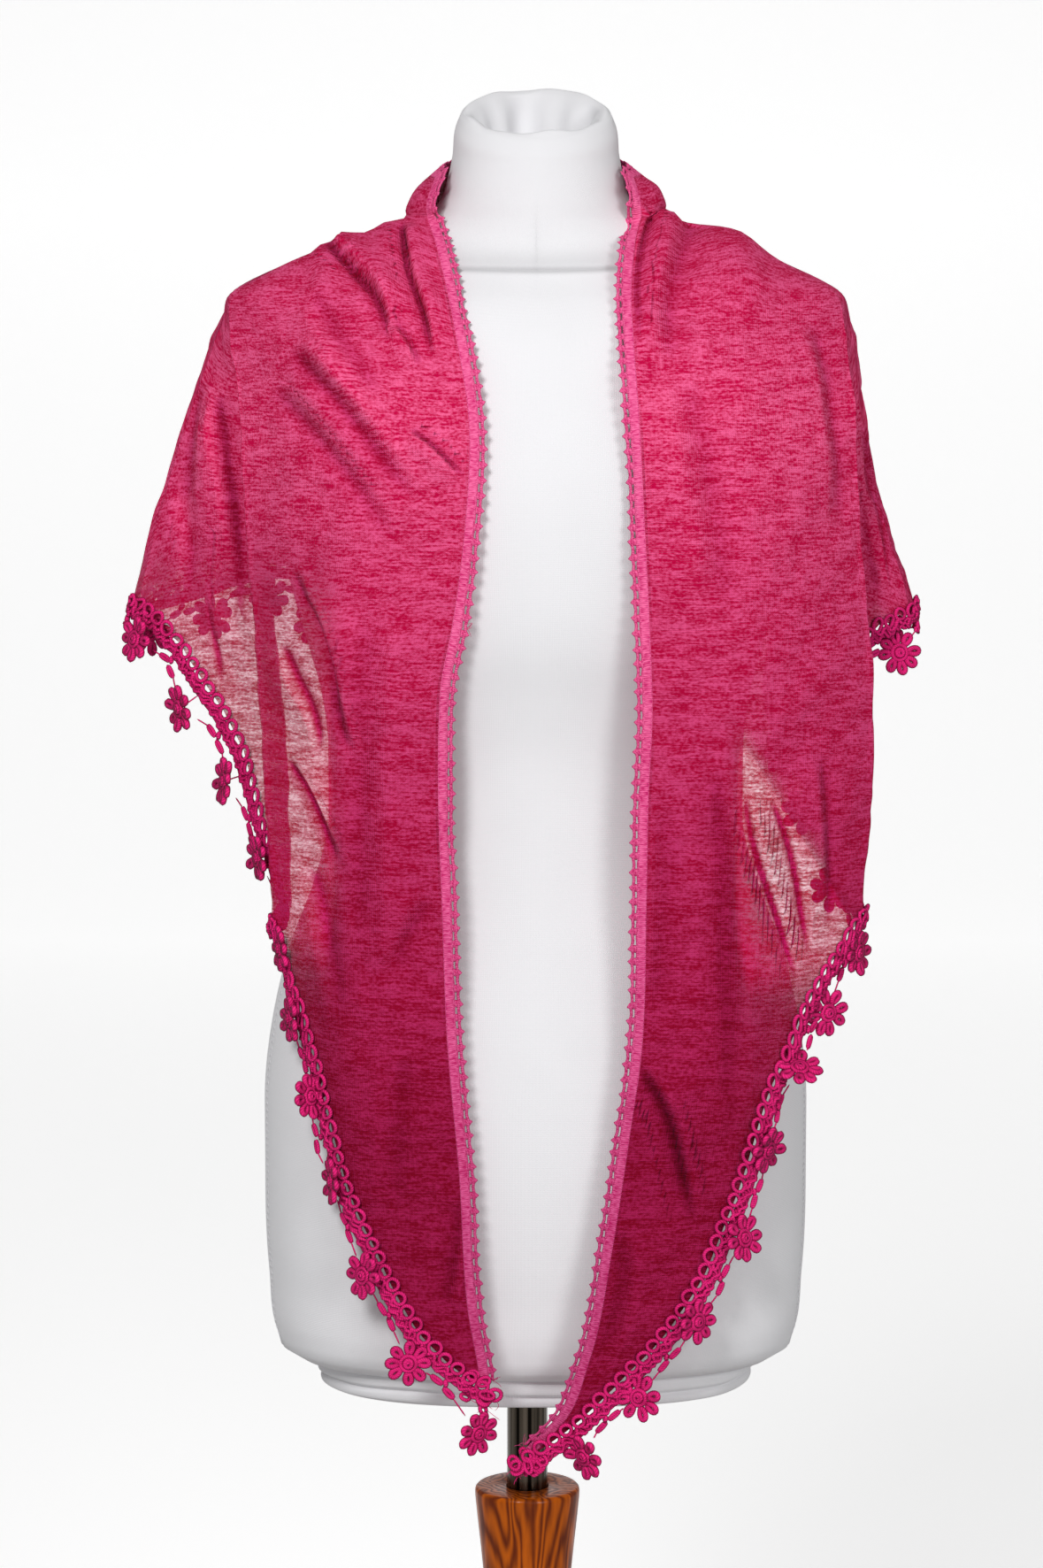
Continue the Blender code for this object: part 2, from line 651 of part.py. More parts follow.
def build_tape(left, right, finish):
    """Narrow tape along the whole long edge: up one front, round the neck and down the other."""
    path = np.concatenate((left[0, ::-1], left[1:, 0], right[-2:0:-1, 0], right[0]))
    inner = np.concatenate((left[1, ::-1], left[1:, 1], right[-2:0:-1, 1], right[1]))
    length, outward = edge_frames(path, inner)
    outward = smoothed(outward, length, TAPE_SMOOTHING)
    at = np.clip(length, TAPE_END, length[-1] - TAPE_END)
    path, outward = sample(at, length, path), sample(at, length, outward)
    rows = [path + outward * (TAPE_GAP + TAPE_WIDTH * share) for share in (0, 1)]
    points = np.stack(rows, axis=1)
    mesh = mesh_of("picot_tape", points, grid_faces(len(points), 2))
    face_outwards(mesh)
    add_wall(add_object("picot_tape", mesh, finish), TAPE_WALL)


def build_scarf():
    left = scarf_grid(LEFT, LEFT_HEM, -1)
    right = scarf_grid(RIGHT, RIGHT_HEM, 1)
    points = np.concatenate((left, right[-2::-1]))
    mesh = mesh_of("knit_panel", points, grid_faces(*points.shape[:2]))
    knit = material("magenta_knit", (0.45, 0.01, 0.09), 0.9)
    add_wall(add_object("knit_panel", mesh, knit), CLOTH_WALL)
    build_tape(left, right, material("pink_tape", (0.75, 0.08, 0.33), 0.8))
    lace = material("flower_lace", (0.66, 0.01, 0.18), 0.75)
    build_lace("flower_lace_left", left, LEFT_REPEATS, LEFT_OVERRUN, -1, lace)
    build_lace("flower_lace_right", right, RIGHT_REPEATS, RIGHT_OVERRUN, 1, lace)


def main():
    for obj in list(bpy.data.objects):
        bpy.data.objects.remove(obj)
    collection = bpy.data.collections.new(COLLECTION)
    bpy.context.scene.collection.children.link(collection)
    build_form_body()
    build_form_rim()
    build_pole()
    build_hub()
    build_legs()
    build_scarf()


main()
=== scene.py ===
"""Looks of a knitted foulard scarf with flower lace, draped on a dress form and its wooden stand.

It is laid out as a Blender add-on and run as a script. Metres, +Z up, the form's front along -Y.
Left and right are the viewer's. The scarf is one triangle of fine heather knit: a picot tape runs
down both fronts and round the neck, and flower lace hangs from the hem.
"""

import math

import bmesh
import bpy
import numpy as np
from bpy.props import FloatProperty, FloatVectorProperty, IntProperty, PointerProperty
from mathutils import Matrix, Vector


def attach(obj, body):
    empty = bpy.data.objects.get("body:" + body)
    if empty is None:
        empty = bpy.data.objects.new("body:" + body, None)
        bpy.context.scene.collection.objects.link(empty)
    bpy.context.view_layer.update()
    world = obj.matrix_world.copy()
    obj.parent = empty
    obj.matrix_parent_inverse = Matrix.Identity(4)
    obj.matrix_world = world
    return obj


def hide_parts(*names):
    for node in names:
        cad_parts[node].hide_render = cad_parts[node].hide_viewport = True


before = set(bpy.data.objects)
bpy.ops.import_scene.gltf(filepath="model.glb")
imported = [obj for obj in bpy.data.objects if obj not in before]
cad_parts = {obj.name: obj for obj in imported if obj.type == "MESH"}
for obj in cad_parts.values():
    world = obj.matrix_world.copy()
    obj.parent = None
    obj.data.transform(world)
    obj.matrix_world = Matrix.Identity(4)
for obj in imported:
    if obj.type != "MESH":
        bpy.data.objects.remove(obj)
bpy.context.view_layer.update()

bl_info = {
    "name": "Foulard scarf on a dress form",
    "version": (1, 0, 0),
    "blender": (4, 5, 0),
    "location": "3D View > Sidebar > Foulard",
    "description": "Knitted foulard with flower lace on a jersey dress form and wooden stand",
    "category": "Object",
}

SEED = 7


def table(columns, rows):
    """Returns the rows as a dictionary of one array for each named column."""
    return dict(zip(columns.split(), np.array(rows, float).T))


# The dress form's level sections: half width, depth in front and behind, and roundness.
SECTION_SIZES = ("half", "front", "back", "power")
FORM_CENTRE_X = 0.005
FORM_RINGS = table("height half front back power", (
    (0.548, 0.146, 0.083, 0.092, 2.5),
    (0.552, 0.154, 0.090, 0.099, 2.5),
    (0.562, 0.159, 0.095, 0.104, 2.5),
    (0.600, 0.164, 0.100, 0.110, 2.4),
    (0.650, 0.166, 0.104, 0.116, 2.4),
    (0.705, 0.166, 0.105, 0.118, 2.4),
    (0.755, 0.161, 0.102, 0.114, 2.3),
    (0.800, 0.150, 0.096, 0.105, 2.3),
    (0.840, 0.135, 0.090, 0.095, 2.3),
    (0.880, 0.126, 0.087, 0.089, 2.3),
    (0.920, 0.126, 0.089, 0.087, 2.3),
    (0.955, 0.130, 0.097, 0.089, 2.3),
    (0.985, 0.138, 0.106, 0.093, 2.3),
    (1.020, 0.148, 0.112, 0.098, 2.3),
    (1.060, 0.156, 0.114, 0.104, 2.3),
    (1.100, 0.164, 0.110, 0.108, 2.3),
    (1.140, 0.172, 0.101, 0.108, 2.2),
    (1.165, 0.178, 0.092, 0.104, 2.2),
    (1.187, 0.181, 0.079, 0.091, 1.95),
    (1.199, 0.165, 0.071, 0.081, 1.8),
    (1.210, 0.143, 0.064, 0.072, 1.65),
    (1.220, 0.117, 0.058, 0.065, 1.5),
    (1.229, 0.091, 0.054, 0.059, 1.45),
    (1.237, 0.071, 0.052, 0.056, 1.6),
    (1.247, 0.059, 0.051, 0.055, 1.9),
    (1.262, 0.053, 0.050, 0.053, 2.0),
    (1.276, 0.050, 0.049, 0.052, 2.0),
    (1.293, 0.048, 0.047, 0.051, 2.0),
    (1.300, 0.045, 0.044, 0.048, 2.0),
))
# The neck's sections lean forward more and more: rise of a level by its distance behind the middle.
NECK_LEAN = table("height tilt", ((1.247, 0.0), (1.262, 0.07), (1.276, 0.18), (1.293, 0.36), (1.300, 0.38)))
# The jersey turns over the neck's edge and is tucked down inside it.
NECK_TUCK = table("height half front back tilt", (
    (1.300, 0.045, 0.044, 0.048, 0.38),
    (1.302, 0.042, 0.041, 0.045, 0.38),
    (1.300, 0.038, 0.037, 0.041, 0.38),
    (1.293, 0.034, 0.033, 0.037, 0.36),
    (1.281, 0.031, 0.030, 0.033, 0.28),
    (1.274, 0.024, 0.023, 0.026, 0.18),
    (1.272, 0.010, 0.010, 0.011, 0.15),
))
# The low foot under the torso, from its bottom up.
RIM_ROWS = table("height half front back", (
    (0.529, 0.1275, 0.0715, 0.0795),
    (0.531, 0.1315, 0.0755, 0.0835),
    (0.5345, 0.1325, 0.0765, 0.0845),
    (0.5370, 0.1310, 0.0750, 0.0830),
    (0.5395, 0.1345, 0.0785, 0.0865),
    (0.5440, 0.1350, 0.0790, 0.0870),
    (0.5472, 0.1340, 0.0780, 0.0860),
))

# The scarf's sections run through named stations, from the front edge round to the centre of the back.
# Each takes a number of steps to the next. On the shoulders the stations lie at shares of the way
# from the front edge to the side, and past 1 on from the side to the centre of the back.
STATIONS = (
    "edge chest fold_in fold fold_out under_in under under_out flap "
    "wing_in wing wing_out back_side back centre"
).split()
STATION_STEPS = (30, 24, 9, 4, 4, 4, 4, 4, 10, 10, 5, 4, 6, 9, 18)
YOKE_SHARE = (0, 0.46, 0.80, 0.83, 0.86, 0.88, 0.90, 0.92, 0.95, 0.975, 1, 1.03, 1.22, 1.50, 2)
COLLAR = table("height half front back power", (
    (1.243, 0.078, 0.060, 0.067, 1.75),
    (1.252, 0.073, 0.057, 0.065, 1.95),
    (1.262, 0.063, 0.052, 0.061, 2.0),
))
# Levels where the collar stands, where the cloth leaves the shoulders, and how it is divided.
HANG_CROWDING = 1.2
COLLAR_TOP = 1.262
COLLAR_FOOT = 1.232
COLLAR_RISE = 0.010
HANG_TOP = 1.165
YOKE_BLEND = 0.045
YOKE_DROP = 0.0035
YOKE_ROWS = 44
HANG_ROWS = 138
CLEARANCE = 0.0030
SHORTEST_SPAN = 0.0004
WIDEST_EDGE = 0.985
# Each side's distances outwards from the form's centre line, and below them the depths for both.
SIDE_SIZES = ("edge", "fold", "under", "wing", "bend")
LEFT = table("height edge fold under wing bend", (
    (0.500, 0.032, 0.153, 0.146, 0.250, 0.005),
    (0.556, 0.033, 0.153, 0.146, 0.250, 0.005),
    (0.600, 0.040, 0.153, 0.146, 0.250, 0.005),
    (0.680, 0.045, 0.154, 0.146, 0.250, 0.005),
    (0.760, 0.052, 0.155, 0.146, 0.250, 0.005),
    (0.840, 0.055, 0.156, 0.146, 0.250, 0.005),
    (0.900, 0.057, 0.161, 0.148, 0.250, 0.0045),
    (0.960, 0.056, 0.164, 0.151, 0.249, 0.004),
    (1.005, 0.048, 0.167, 0.155, 0.245, 0.0035),
    (1.060, 0.041, 0.171, 0.160, 0.230, 0.003),
    (1.120, 0.039, 0.175, 0.166, 0.211, 0.0025),
    (1.165, 0.046, 0.181, 0.175, 0.195, 0.002),
    (1.190, 0.051, 0.184, 0.180, 0.188, 0.002),
    (1.222, 0.059, 0.184, 0.180, 0.188, 0.002),
    (1.243, 0.065, 0.184, 0.180, 0.188, 0.002),
    (1.262, 0.060, 0.184, 0.180, 0.188, 0.002),
))
RIGHT = table("height edge fold under wing bend", (
    (0.512, -0.005, 0.194, 0.160, 0.236, 0.005),
    (0.535, 0.017, 0.194, 0.160, 0.236, 0.005),
    (0.570, 0.031, 0.194, 0.160, 0.236, 0.005),
    (0.640, 0.045, 0.194, 0.160, 0.236, 0.005),
    (0.700, 0.054, 0.194, 0.160, 0.236, 0.005),
    (0.760, 0.062, 0.194, 0.160, 0.236, 0.005),
    (0.840, 0.064, 0.194, 0.158, 0.236, 0.005),
    (0.900, 0.065, 0.200, 0.152, 0.236, 0.0045),
    (0.950, 0.067, 0.200, 0.136, 0.235, 0.004),
    (1.005, 0.065, 0.196, 0.140, 0.229, 0.0035),
    (1.060, 0.062, 0.191, 0.155, 0.211, 0.003),
    (1.120, 0.059, 0.188, 0.174, 0.199, 0.0025),
    (1.165, 0.056, 0.184, 0.180, 0.192, 0.002),
    (1.190, 0.055, 0.183, 0.181, 0.187, 0.002),
    (1.222, 0.058, 0.183, 0.181, 0.187, 0.002),
    (1.243, 0.062, 0.183, 0.181, 0.187, 0.002),
    (1.262, 0.058, 0.183, 0.181, 0.187, 0.002),
))
DEPTHS = table("height edge chest fold wing back_side back centre", (
    (0.500, -0.122, -0.112, -0.066, 0.000, 0.062, 0.100, 0.124),
    (0.600, -0.121, -0.112, -0.066, 0.000, 0.062, 0.100, 0.124),
    (0.720, -0.118, -0.111, -0.066, 0.000, 0.062, 0.100, 0.124),
    (0.840, -0.113, -0.105, -0.064, 0.000, 0.060, 0.098, 0.120),
    (0.900, -0.112, -0.103, -0.062, 0.000, 0.058, 0.094, 0.118),
    (1.000, -0.118, -0.109, -0.057, 0.000, 0.052, 0.088, 0.117),
    (1.060, -0.120, -0.110, -0.052, 0.000, 0.050, 0.084, 0.116),
    (1.120, -0.113, -0.101, -0.043, 0.000, 0.048, 0.082, 0.115),
    (1.165, -0.098, -0.083, -0.030, 0.000, 0.044, 0.076, 0.108),
    (1.190, -0.083, -0.066, -0.018, 0.000, 0.036, 0.066, 0.095),
    (1.212, -0.070, -0.052, -0.010, 0.000, 0.028, 0.056, 0.080),
))
BACK_SIDE_OUT = 0.198
BACK_OUT = 0.150
# The hem's height at each station, from the front tip to the point at the centre of the back.
HEM_RIPPLE = 0.0012
LEFT_HEM = table("station height", (
    (0, 0.556), (0.2, 0.565), (0.4, 0.577), (0.6, 0.595), (0.8, 0.619), (1, 0.643),
    (1.2, 0.674), (1.4, 0.718), (1.6, 0.756), (1.8, 0.786), (2, 0.814), (3, 0.822),
    (4, 0.826), (5, 0.8265), (6, 0.831), (7, 0.840), (7.5, 0.921), (8, 0.963),
    (8.5, 0.994), (9, 1.007), (10, 1.008), (11, 1.009), (12, 1.020), (13, 1.026),
    (14, 0.735),
))
RIGHT_HEM = table("station height", (
    (0, 0.514), (0.13, 0.541), (0.26, 0.558), (0.4, 0.575), (0.6, 0.601), (0.8, 0.636),
    (1, 0.688), (1.15, 0.730), (1.3, 0.756), (1.5, 0.782), (1.75, 0.803), (2, 0.820),
    (3, 0.828), (4, 0.836), (5, 0.925), (6, 0.933), (7, 0.941), (8, 0.981), (9, 1.003),
    (10, 1.006), (11, 1.009), (12, 1.020), (13, 1.026), (14, 0.735),
))

# Creases run through four points down the cloth, seen from the front or the back. Each is a
# trough with a soft ridge beside it, to its right (1) or left (-1): width, height of the ridge, side,
# and the share of its length over which it rises at its upper end.
CREASE_COLUMNS = "x0 z0 x1 z1 x2 z2 x3 z3 width height ridge head"
FRONT_CREASES = table(CREASE_COLUMNS, (
    (-0.1235, 1.224, -0.1045, 1.209, -0.0865, 1.185, -0.078, 1.158, 0.0034, 0.0072, 1, 0.22),
    (-0.0825, 1.180, -0.0710, 1.168, -0.0650, 1.158, -0.0620, 1.148, 0.0026, 0.0036, -1, 0.30),
    (-0.0755, 1.236, -0.0690, 1.204, -0.0600, 1.178, -0.0545, 1.148, 0.0030, 0.0060, 1, 0.12),
    (-0.0680, 1.114, -0.0570, 1.107, -0.0465, 1.0975, -0.0330, 1.083, 0.0024, 0.0050, -1, 0.30),
    (-0.1400, 1.162, -0.1120, 1.134, -0.0900, 1.106, -0.0560, 1.062, 0.0066, 0.0060, 1, 0.25),
    (-0.152, 1.142, -0.127, 1.114, -0.102, 1.086, -0.066, 1.034, 0.0080, 0.0050, 1, 0.25),
    (-0.128, 1.196, -0.112, 1.172, -0.096, 1.150, -0.080, 1.124, 0.0070, 0.0040, -1, 0.30),
    (-0.138, 1.036, -0.125, 1.005, -0.113, 0.974, -0.105, 0.928, 0.0036, 0.0036, 1, 0.30),
    (-0.129, 1.019, -0.117, 0.991, -0.110, 0.948, -0.102, 0.915, 0.0040, 0.0046, 1, 0.30),
    (-0.143, 0.991, -0.135, 0.969, -0.124, 0.948, -0.119, 0.915, 0.0034, 0.0038, -1, 0.30),
    (-0.142, 0.923, -0.129, 0.903, -0.118, 0.882, -0.107, 0.846, 0.0034, 0.0042, 1, 0.30),
    (-0.126, 0.865, -0.120, 0.835, -0.112, 0.800, -0.108, 0.760, 0.0060, 0.0030, -1, 0.30),
    (-0.057, 0.844, -0.065, 0.828, -0.073, 0.812, -0.078, 0.794, 0.0060, 0.0028, -1, 0.30),
    (-0.092, 1.020, -0.096, 0.940, -0.098, 0.860, -0.094, 0.780, 0.0110, 0.0044, 1, 0.30),
    (-0.039, 0.673, -0.042, 0.642, -0.047, 0.615, -0.050, 0.594, 0.0050, 0.0028, 1, 0.30),
    (-0.070, 0.760, -0.074, 0.720, -0.076, 0.680, -0.074, 0.650, 0.0080, 0.0026, -1, 0.30),
    (0.073, 1.240, 0.066, 1.215, 0.063, 1.192, 0.064, 1.150, 0.0034, 0.0046, -1, 0.01),
    (0.098, 1.232, 0.088, 1.205, 0.082, 1.180, 0.084, 1.140, 0.0070, 0.0040, -1, 0.01),
    (0.090, 1.150, 0.103, 1.096, 0.111, 1.046, 0.114, 0.985, 0.0110, 0.0048, -1, 0.30),
    (0.166, 1.180, 0.176, 1.147, 0.182, 1.096, 0.185, 1.036, 0.0065, 0.0036, -1, 0.30),
    (0.108, 0.930, 0.114, 0.851, 0.116, 0.789, 0.118, 0.673, 0.0080, 0.0062, 1, 0.30),
    (0.124, 0.913, 0.130, 0.872, 0.146, 0.825, 0.159, 0.783, 0.0032, 0.0040, 1, 0.30),
    (0.140, 0.903, 0.151, 0.872, 0.159, 0.835, 0.164, 0.800, 0.0034, 0.0036, 1, 0.30),
    (0.172, 0.930, 0.176, 0.890, 0.178, 0.850, 0.174, 0.815, 0.0045, 0.0030, -1, 0.30),
    (0.063, 0.748, 0.080, 0.717, 0.088, 0.688, 0.098, 0.640, 0.0045, 0.0060, 1, 0.30),
    (0.078, 0.910, 0.080, 0.850, 0.078, 0.800, 0.072, 0.760, 0.0100, 0.0036, -1, 0.30),
    (0.054, 0.652, 0.056, 0.620, 0.049, 0.589, 0.038, 0.567, 0.0060, 0.0030, 1, 0.30),
))
WING_CREASES = table(CREASE_COLUMNS, (
    (-0.192, 1.020, -0.189, 0.996, -0.185, 0.979, -0.184, 0.955, 0.0034, 0.0034, 1, 0.30),
    (-0.208, 1.083, -0.203, 1.052, -0.202, 1.031, -0.206, 1.005, 0.0045, 0.0028, -1, 0.30),
    (-0.196, 1.150, -0.200, 1.110, -0.206, 1.070, -0.214, 1.030, 0.0060, 0.0036, 1, 0.30),
    (-0.184, 1.140, -0.179, 1.100, -0.174, 1.060, -0.170, 0.980, 0.0046, 0.0056, -1, 0.30),
    (0.202, 1.120, 0.206, 1.085, 0.212, 1.050, 0.218, 1.012, 0.0045, 0.0036, -1, 0.30),
    (0.200, 1.080, 0.202, 1.055, 0.208, 1.030, 0.212, 1.008, 0.0035, 0.0036, 1, 0.30),
))
BACK_CREASES = table(CREASE_COLUMNS, (
    (-0.052, 1.222, -0.090, 1.170, -0.128, 1.110, -0.150, 1.045, 0.0080, 0.0062, 1, 0.10),
    (0.048, 1.224, 0.082, 1.175, 0.118, 1.120, 0.146, 1.050, 0.0075, 0.0058, -1, 0.10),
    (-0.026, 1.215, -0.044, 1.140, -0.066, 1.050, -0.078, 0.950, 0.0100, 0.0058, -1, 0.20),
    (0.022, 1.212, 0.038, 1.150, 0.052, 1.060, 0.060, 0.930, 0.0095, 0.0060, 1, 0.20),
    (-0.006, 1.190, -0.010, 1.080, -0.018, 0.960, -0.024, 0.850, 0.0085, 0.0050, 1, 0.30),
    (0.100, 1.060, 0.092, 1.000, 0.076, 0.930, 0.056, 0.870, 0.0065, 0.0044, 1, 0.30),
    (-0.116, 1.040, -0.104, 0.985, -0.084, 0.920, -0.060, 0.860, 0.0070, 0.0046, -1, 0.30),
    (-0.160, 1.170, -0.174, 1.130, -0.184, 1.085, -0.188, 1.040, 0.0055, 0.0036, 1, 0.30),
    (0.162, 1.172, 0.172, 1.125, 0.180, 1.080, 0.184, 1.035, 0.0060, 0.0038, -1, 0.30),
    (0.012, 0.960, 0.010, 0.900, 0.004, 0.840, 0.002, 0.785, 0.0060, 0.0036, -1, 0.30),
))
# A crease's shape, in shares of its height and in its own widths, and how far aside it is followed.
TROUGH_SHARE = 0.55
RIDGE_AT = 1.7
STEEP_SIDE = 1.0
GENTLE_SIDE = 2.8
CREASE_REACH = 3.0
# Soft unevenness of the loose cloth, and where its own coordinates start.
LARGE_WAVES = 0.0008
SMALL_WAVES = 0.00022
CLOTH_START = 0.05
# Creases fade out over the tail of their length, and only high and narrow ones get lines of painted shade.
CREASE_TAIL, CREASE_SPREAD = 0.45, 9
LINE_SHADE_HEIGHT, LINE_SHADE_WIDTH = 0.006, 0.0048
# Stations where the creases of the front, the wings and the back hold, and where the cloth's own
# coordinates turn.
FRONT_TO, WING_FROM, WING_TO, BACK_FROM = 2.8, 7.0, 10.2, 11.2
TURN_FROM, TURN_OVER = 7.5, 5.5
SHOULDER_FOOT, SHOULDER_RISE = 1.172, 0.030
# Folds stand up where the cloth crosses the shoulder: place, reach towards the left and right, height.
SHOULDER_FOLDS = table("x left right height", (
    (-0.1235, 0.0035, 0.0120, 0.0030),
    (-0.0840, 0.0090, 0.0080, 0.0030),
    (0.0800, 0.0060, 0.0100, 0.0030),
    (0.1270, 0.0280, 0.0150, 0.0085),
))

# Flowers that show, from each front tip on: the middle, where it faces (degrees to the right of the
# front) and how far it looks up. The rest follow at even steps.
FLOWER_COLUMNS = "x z facing tilt"
LEFT_FLOWERS = table(FLOWER_COLUMNS, (
    (-0.0294, 0.5289, 38, -10), (-0.0700, 0.5700, 4, 0), (-0.0963, 0.6204, -44, 6),
    (-0.1147, 0.6748, -76, 0), (-0.1284, 0.7232, 50, 8), (-0.1400, 0.7676, -68, 0),
    (-0.1464, 0.8078, -72, 0), (-0.1609, 0.8587, -64, 0), (-0.1813, 0.9038, -66, 6),
    (-0.2086, 0.9466, -60, -6), (-0.2364, 0.9871, -50, 10),
))
RIGHT_FLOWERS = table(FLOWER_COLUMNS, (
    (0.0332, 0.5148, -46, -12), (0.0654, 0.5495, -28, 8), (0.0990, 0.5947, 40, 0),
    (0.1262, 0.6433, 42, 10), (0.1403, 0.6949, 50, -14), (0.1591, 0.7421, 10, 58),
))
# The lace hangs from a hinge past the cloth's edge, and droops between two stations at the pleat.
FLOWER_STEP = 0.0495
FLOWER_DROP = 0.0135
LACE_HINGE = 0.0080
SHOWN_HEM = 0.62
LACE_SMOOTHING = 0.030
PLEAT_DROOP = 3.0
PLEAT_START = 2
PLEAT_END = 7
APEX_GAP = 0.006
TIP_OVERRUN = 0.010
ARCH_RADIUS = 0.0036
BAND_MIDDLE, BAND_HALF = 0.0052, 0.0036
# Three braided cords: distance out from the cloth's edge, swing to both sides and length of a lap.
BRAID = ((0.0034, 0.0017, 0.0086), (0.0062, 0.0018, 0.0086), (0.0048, 0.0030, 0.0104))
# Oval rings and leaves between the flowers, as half lengths, distances out and thicknesses.
RING_OUT, RING_LENGTH, RING_WIDTH, RING_CORD = 0.0190, 0.0038, 0.0021, 0.00125
LEAF_OUT, LEAF_LENGTH = 0.0075, 0.0100
THREAD, CUT_THREAD = 0.00050, 0.00016
PETAL_CORD = 0.00178
# Rings at a flower's middle: radius, height off the petals and the cord's radius.
COIL_RINGS = ((0.0046, 0.0010, 0.00140), (0.0022, 0.0018, 0.00140), (0.0005, 0.0020, 0.0013))
# The loose threads at the tape's joint start at this height, on the left front.
JOINT_HEIGHT = 1.002

# Where the knit shows what is behind it: outside the form's side, below a height of its own on each
# front, and on the right within a window cut off by a slanting line through one corner.
FORM_SIDE = 0.106
LEFT_THIN_BELOW = 1.058
RIGHT_THIN_BELOW = 0.985
WINDOW_CORNER = (0.131, 0.945)
WINDOW_SLANT = (0.856, 0.517)
LEFT_THIN, RIGHT_THIN = 0.84, 1.08

# The form's seams and the turned hub of its stand.
NECK_SEAM = 1.2135
NECK_SEAM_DIP = 0.0075
SIDE_SEAMS = (168, 12)
ARMPIT = 1.18
SHOULDER, NECK_FOOT = 1.190, 1.240
STITCH_STEP = 0.0042
HUB_TOP, HUB_BOTTOM, BORE_FLOOR = 0.460, 0.285, 0.365

CAMERA_AT = (-0.0036, -2.243, 1.1337)
CAMERA_PITCH = 6.0
PHOTO_HEIGHT = 1772
FOCAL_PIXELS = 4184
SENSOR = 36.0
KEY_AT, KEY_AIM, KEY_SIZE = (-0.9, -2.8, 2.7), (0, 0, 1.0), 0.9
FILL_AT, FILL_AIM, FILL_SIZE = (1.6, -2.7, 1.7), (0, 0, 0.85), 1.2
SWEEP_SIDE, SWEEP_FRONT, SWEEP_WALL, SWEEP_RADIUS, SWEEP_TOP = 2.6, -2.6, 5.4, 1.6, 5.0


def colour(name, words, default):
    return FloatVectorProperty(name=name, description=words, default=default, subtype="COLOR", size=3,
                               min=0, max=1)


def number(name, words, default, **more):
    return FloatProperty(name=name, description=words, default=default, **more)


def length(name, words, default):
    return number(name, words, default, unit="LENGTH", precision=5)


def share_of(name, words, default):
    return number(name, words, default, subtype="FACTOR", min=0, max=1)


class KnitSettings(bpy.types.PropertyGroup):
    wall: length("Wall", "Thickness of the knitted cloth", 0.0007)
    streak_width: length("Streak width", "Width of one heather streak", 0.0011)
    streak_length: length("Streak length", "Length of one heather streak", 0.015)
    deep: colour("Deep yarn", "Colour of the darkest streaks", (0.58, 0.001, 0.062))
    light: colour("Light yarn", "Colour of the palest streaks", (1.00, 0.135, 0.330))
    openness: share_of("Openness", "Share of one wall of the knit that is open", 0.40)
    tip_tone: share_of("Tip tone", "Brightness at the tips beside the shoulders", 0.37)


class TapeSettings(bpy.types.PropertyGroup):
    band: length("Band", "Width of the tape's knitted band", 0.0066)
    reach: length("Reach", "Width of the tape out to its picots", 0.0094)
    pitch: length("Pitch", "Distance between two picots", 0.0087)
    light: colour("Light yarn", "Pale thread of the tape", (0.92, 0.150, 0.360))
    deep: colour("Deep yarn", "Dark thread of the tape", (0.62, 0.020, 0.150))


class LaceSettings(bpy.types.PropertyGroup):
    cord: length("Cord", "Radius of the lace's padded cord", 0.00125)
    arch: length("Arch", "Distance between two arches of the header", 0.0090)
    petal: length("Petal", "Distance from the flower's middle to a petal's tip", 0.0142)
    petals: IntProperty(name="Petals", description="Petals on a flower", default=8, min=5, max=12)
    light: colour("Lit thread", "Thread colour on the cords' crowns", (0.88, 0.016, 0.215))
    deep: colour("Shaded thread", "Thread colour between the cords", (0.46, 0.002, 0.090))


class FormSettings(bpy.types.PropertyGroup):
    jersey: colour("Jersey", "Colour of the form's cover", (0.775, 0.77, 0.79))
    seam: length("Seam", "Depth of the neck and side seams", 0.0020)


class StandSettings(bpy.types.PropertyGroup):
    wood_deep: colour("Deep grain", "Dark grain of the lacquered wood", (0.12, 0.015, 0.0003))
    wood_light: colour("Light grain", "Light grain of the lacquered wood", (0.48, 0.095, 0.0012))
    metal: colour("Metal", "Colour of the dark tube", (0.055, 0.045, 0.035))


class StageSettings(bpy.types.PropertyGroup):
    floor: colour("Floor", "Colour of the floor and backdrop", (0.90, 0.90, 0.90))
    glow: number("Backdrop light", "Light that the backdrop gives off", 0.49, min=0)
    room: number("Room light", "Even light from all around", 0.30, min=0)
    key: number("Key light", "Power of the large front light", 71, unit="POWER")
    fill: number("Fill light", "Power of the side light", 33, unit="POWER")


class FoulardSettings(bpy.types.PropertyGroup):
    knit: PointerProperty(type=KnitSettings)
    tape: PointerProperty(type=TapeSettings)
    lace: PointerProperty(type=LaceSettings)
    form: PointerProperty(type=FormSettings)
    stand: PointerProperty(type=StandSettings)
    stage: PointerProperty(type=StageSettings)


# Curves and surfaces


def smooth_step(x):
    x = np.clip(x, 0, 1)
    return x * x * (3 - 2 * x)


def bell(x, width=1.0):
    """1 at 0, falling on both sides to 1/e at the width."""
    return np.exp(-((x / width) ** 2))


def unit(vectors):
    return vectors / np.maximum(np.linalg.norm(vectors, axis=-1, keepdims=True), 1e-12)


def across_of(vectors, axis):
    """The unit direction of what is left of the vectors across unit axes."""
    return unit(vectors - (vectors * axis).sum(-1, keepdims=True) * axis)


def stacked(*values):
    """Arrays that broadcast together, as the last axis of one array."""
    return np.stack(np.broadcast_arrays(*values), axis=-1)


def round_turn(count):
    """Even angles round a whole turn, the last one short of it."""
    return np.linspace(0, 2 * math.pi, count, endpoint=False)


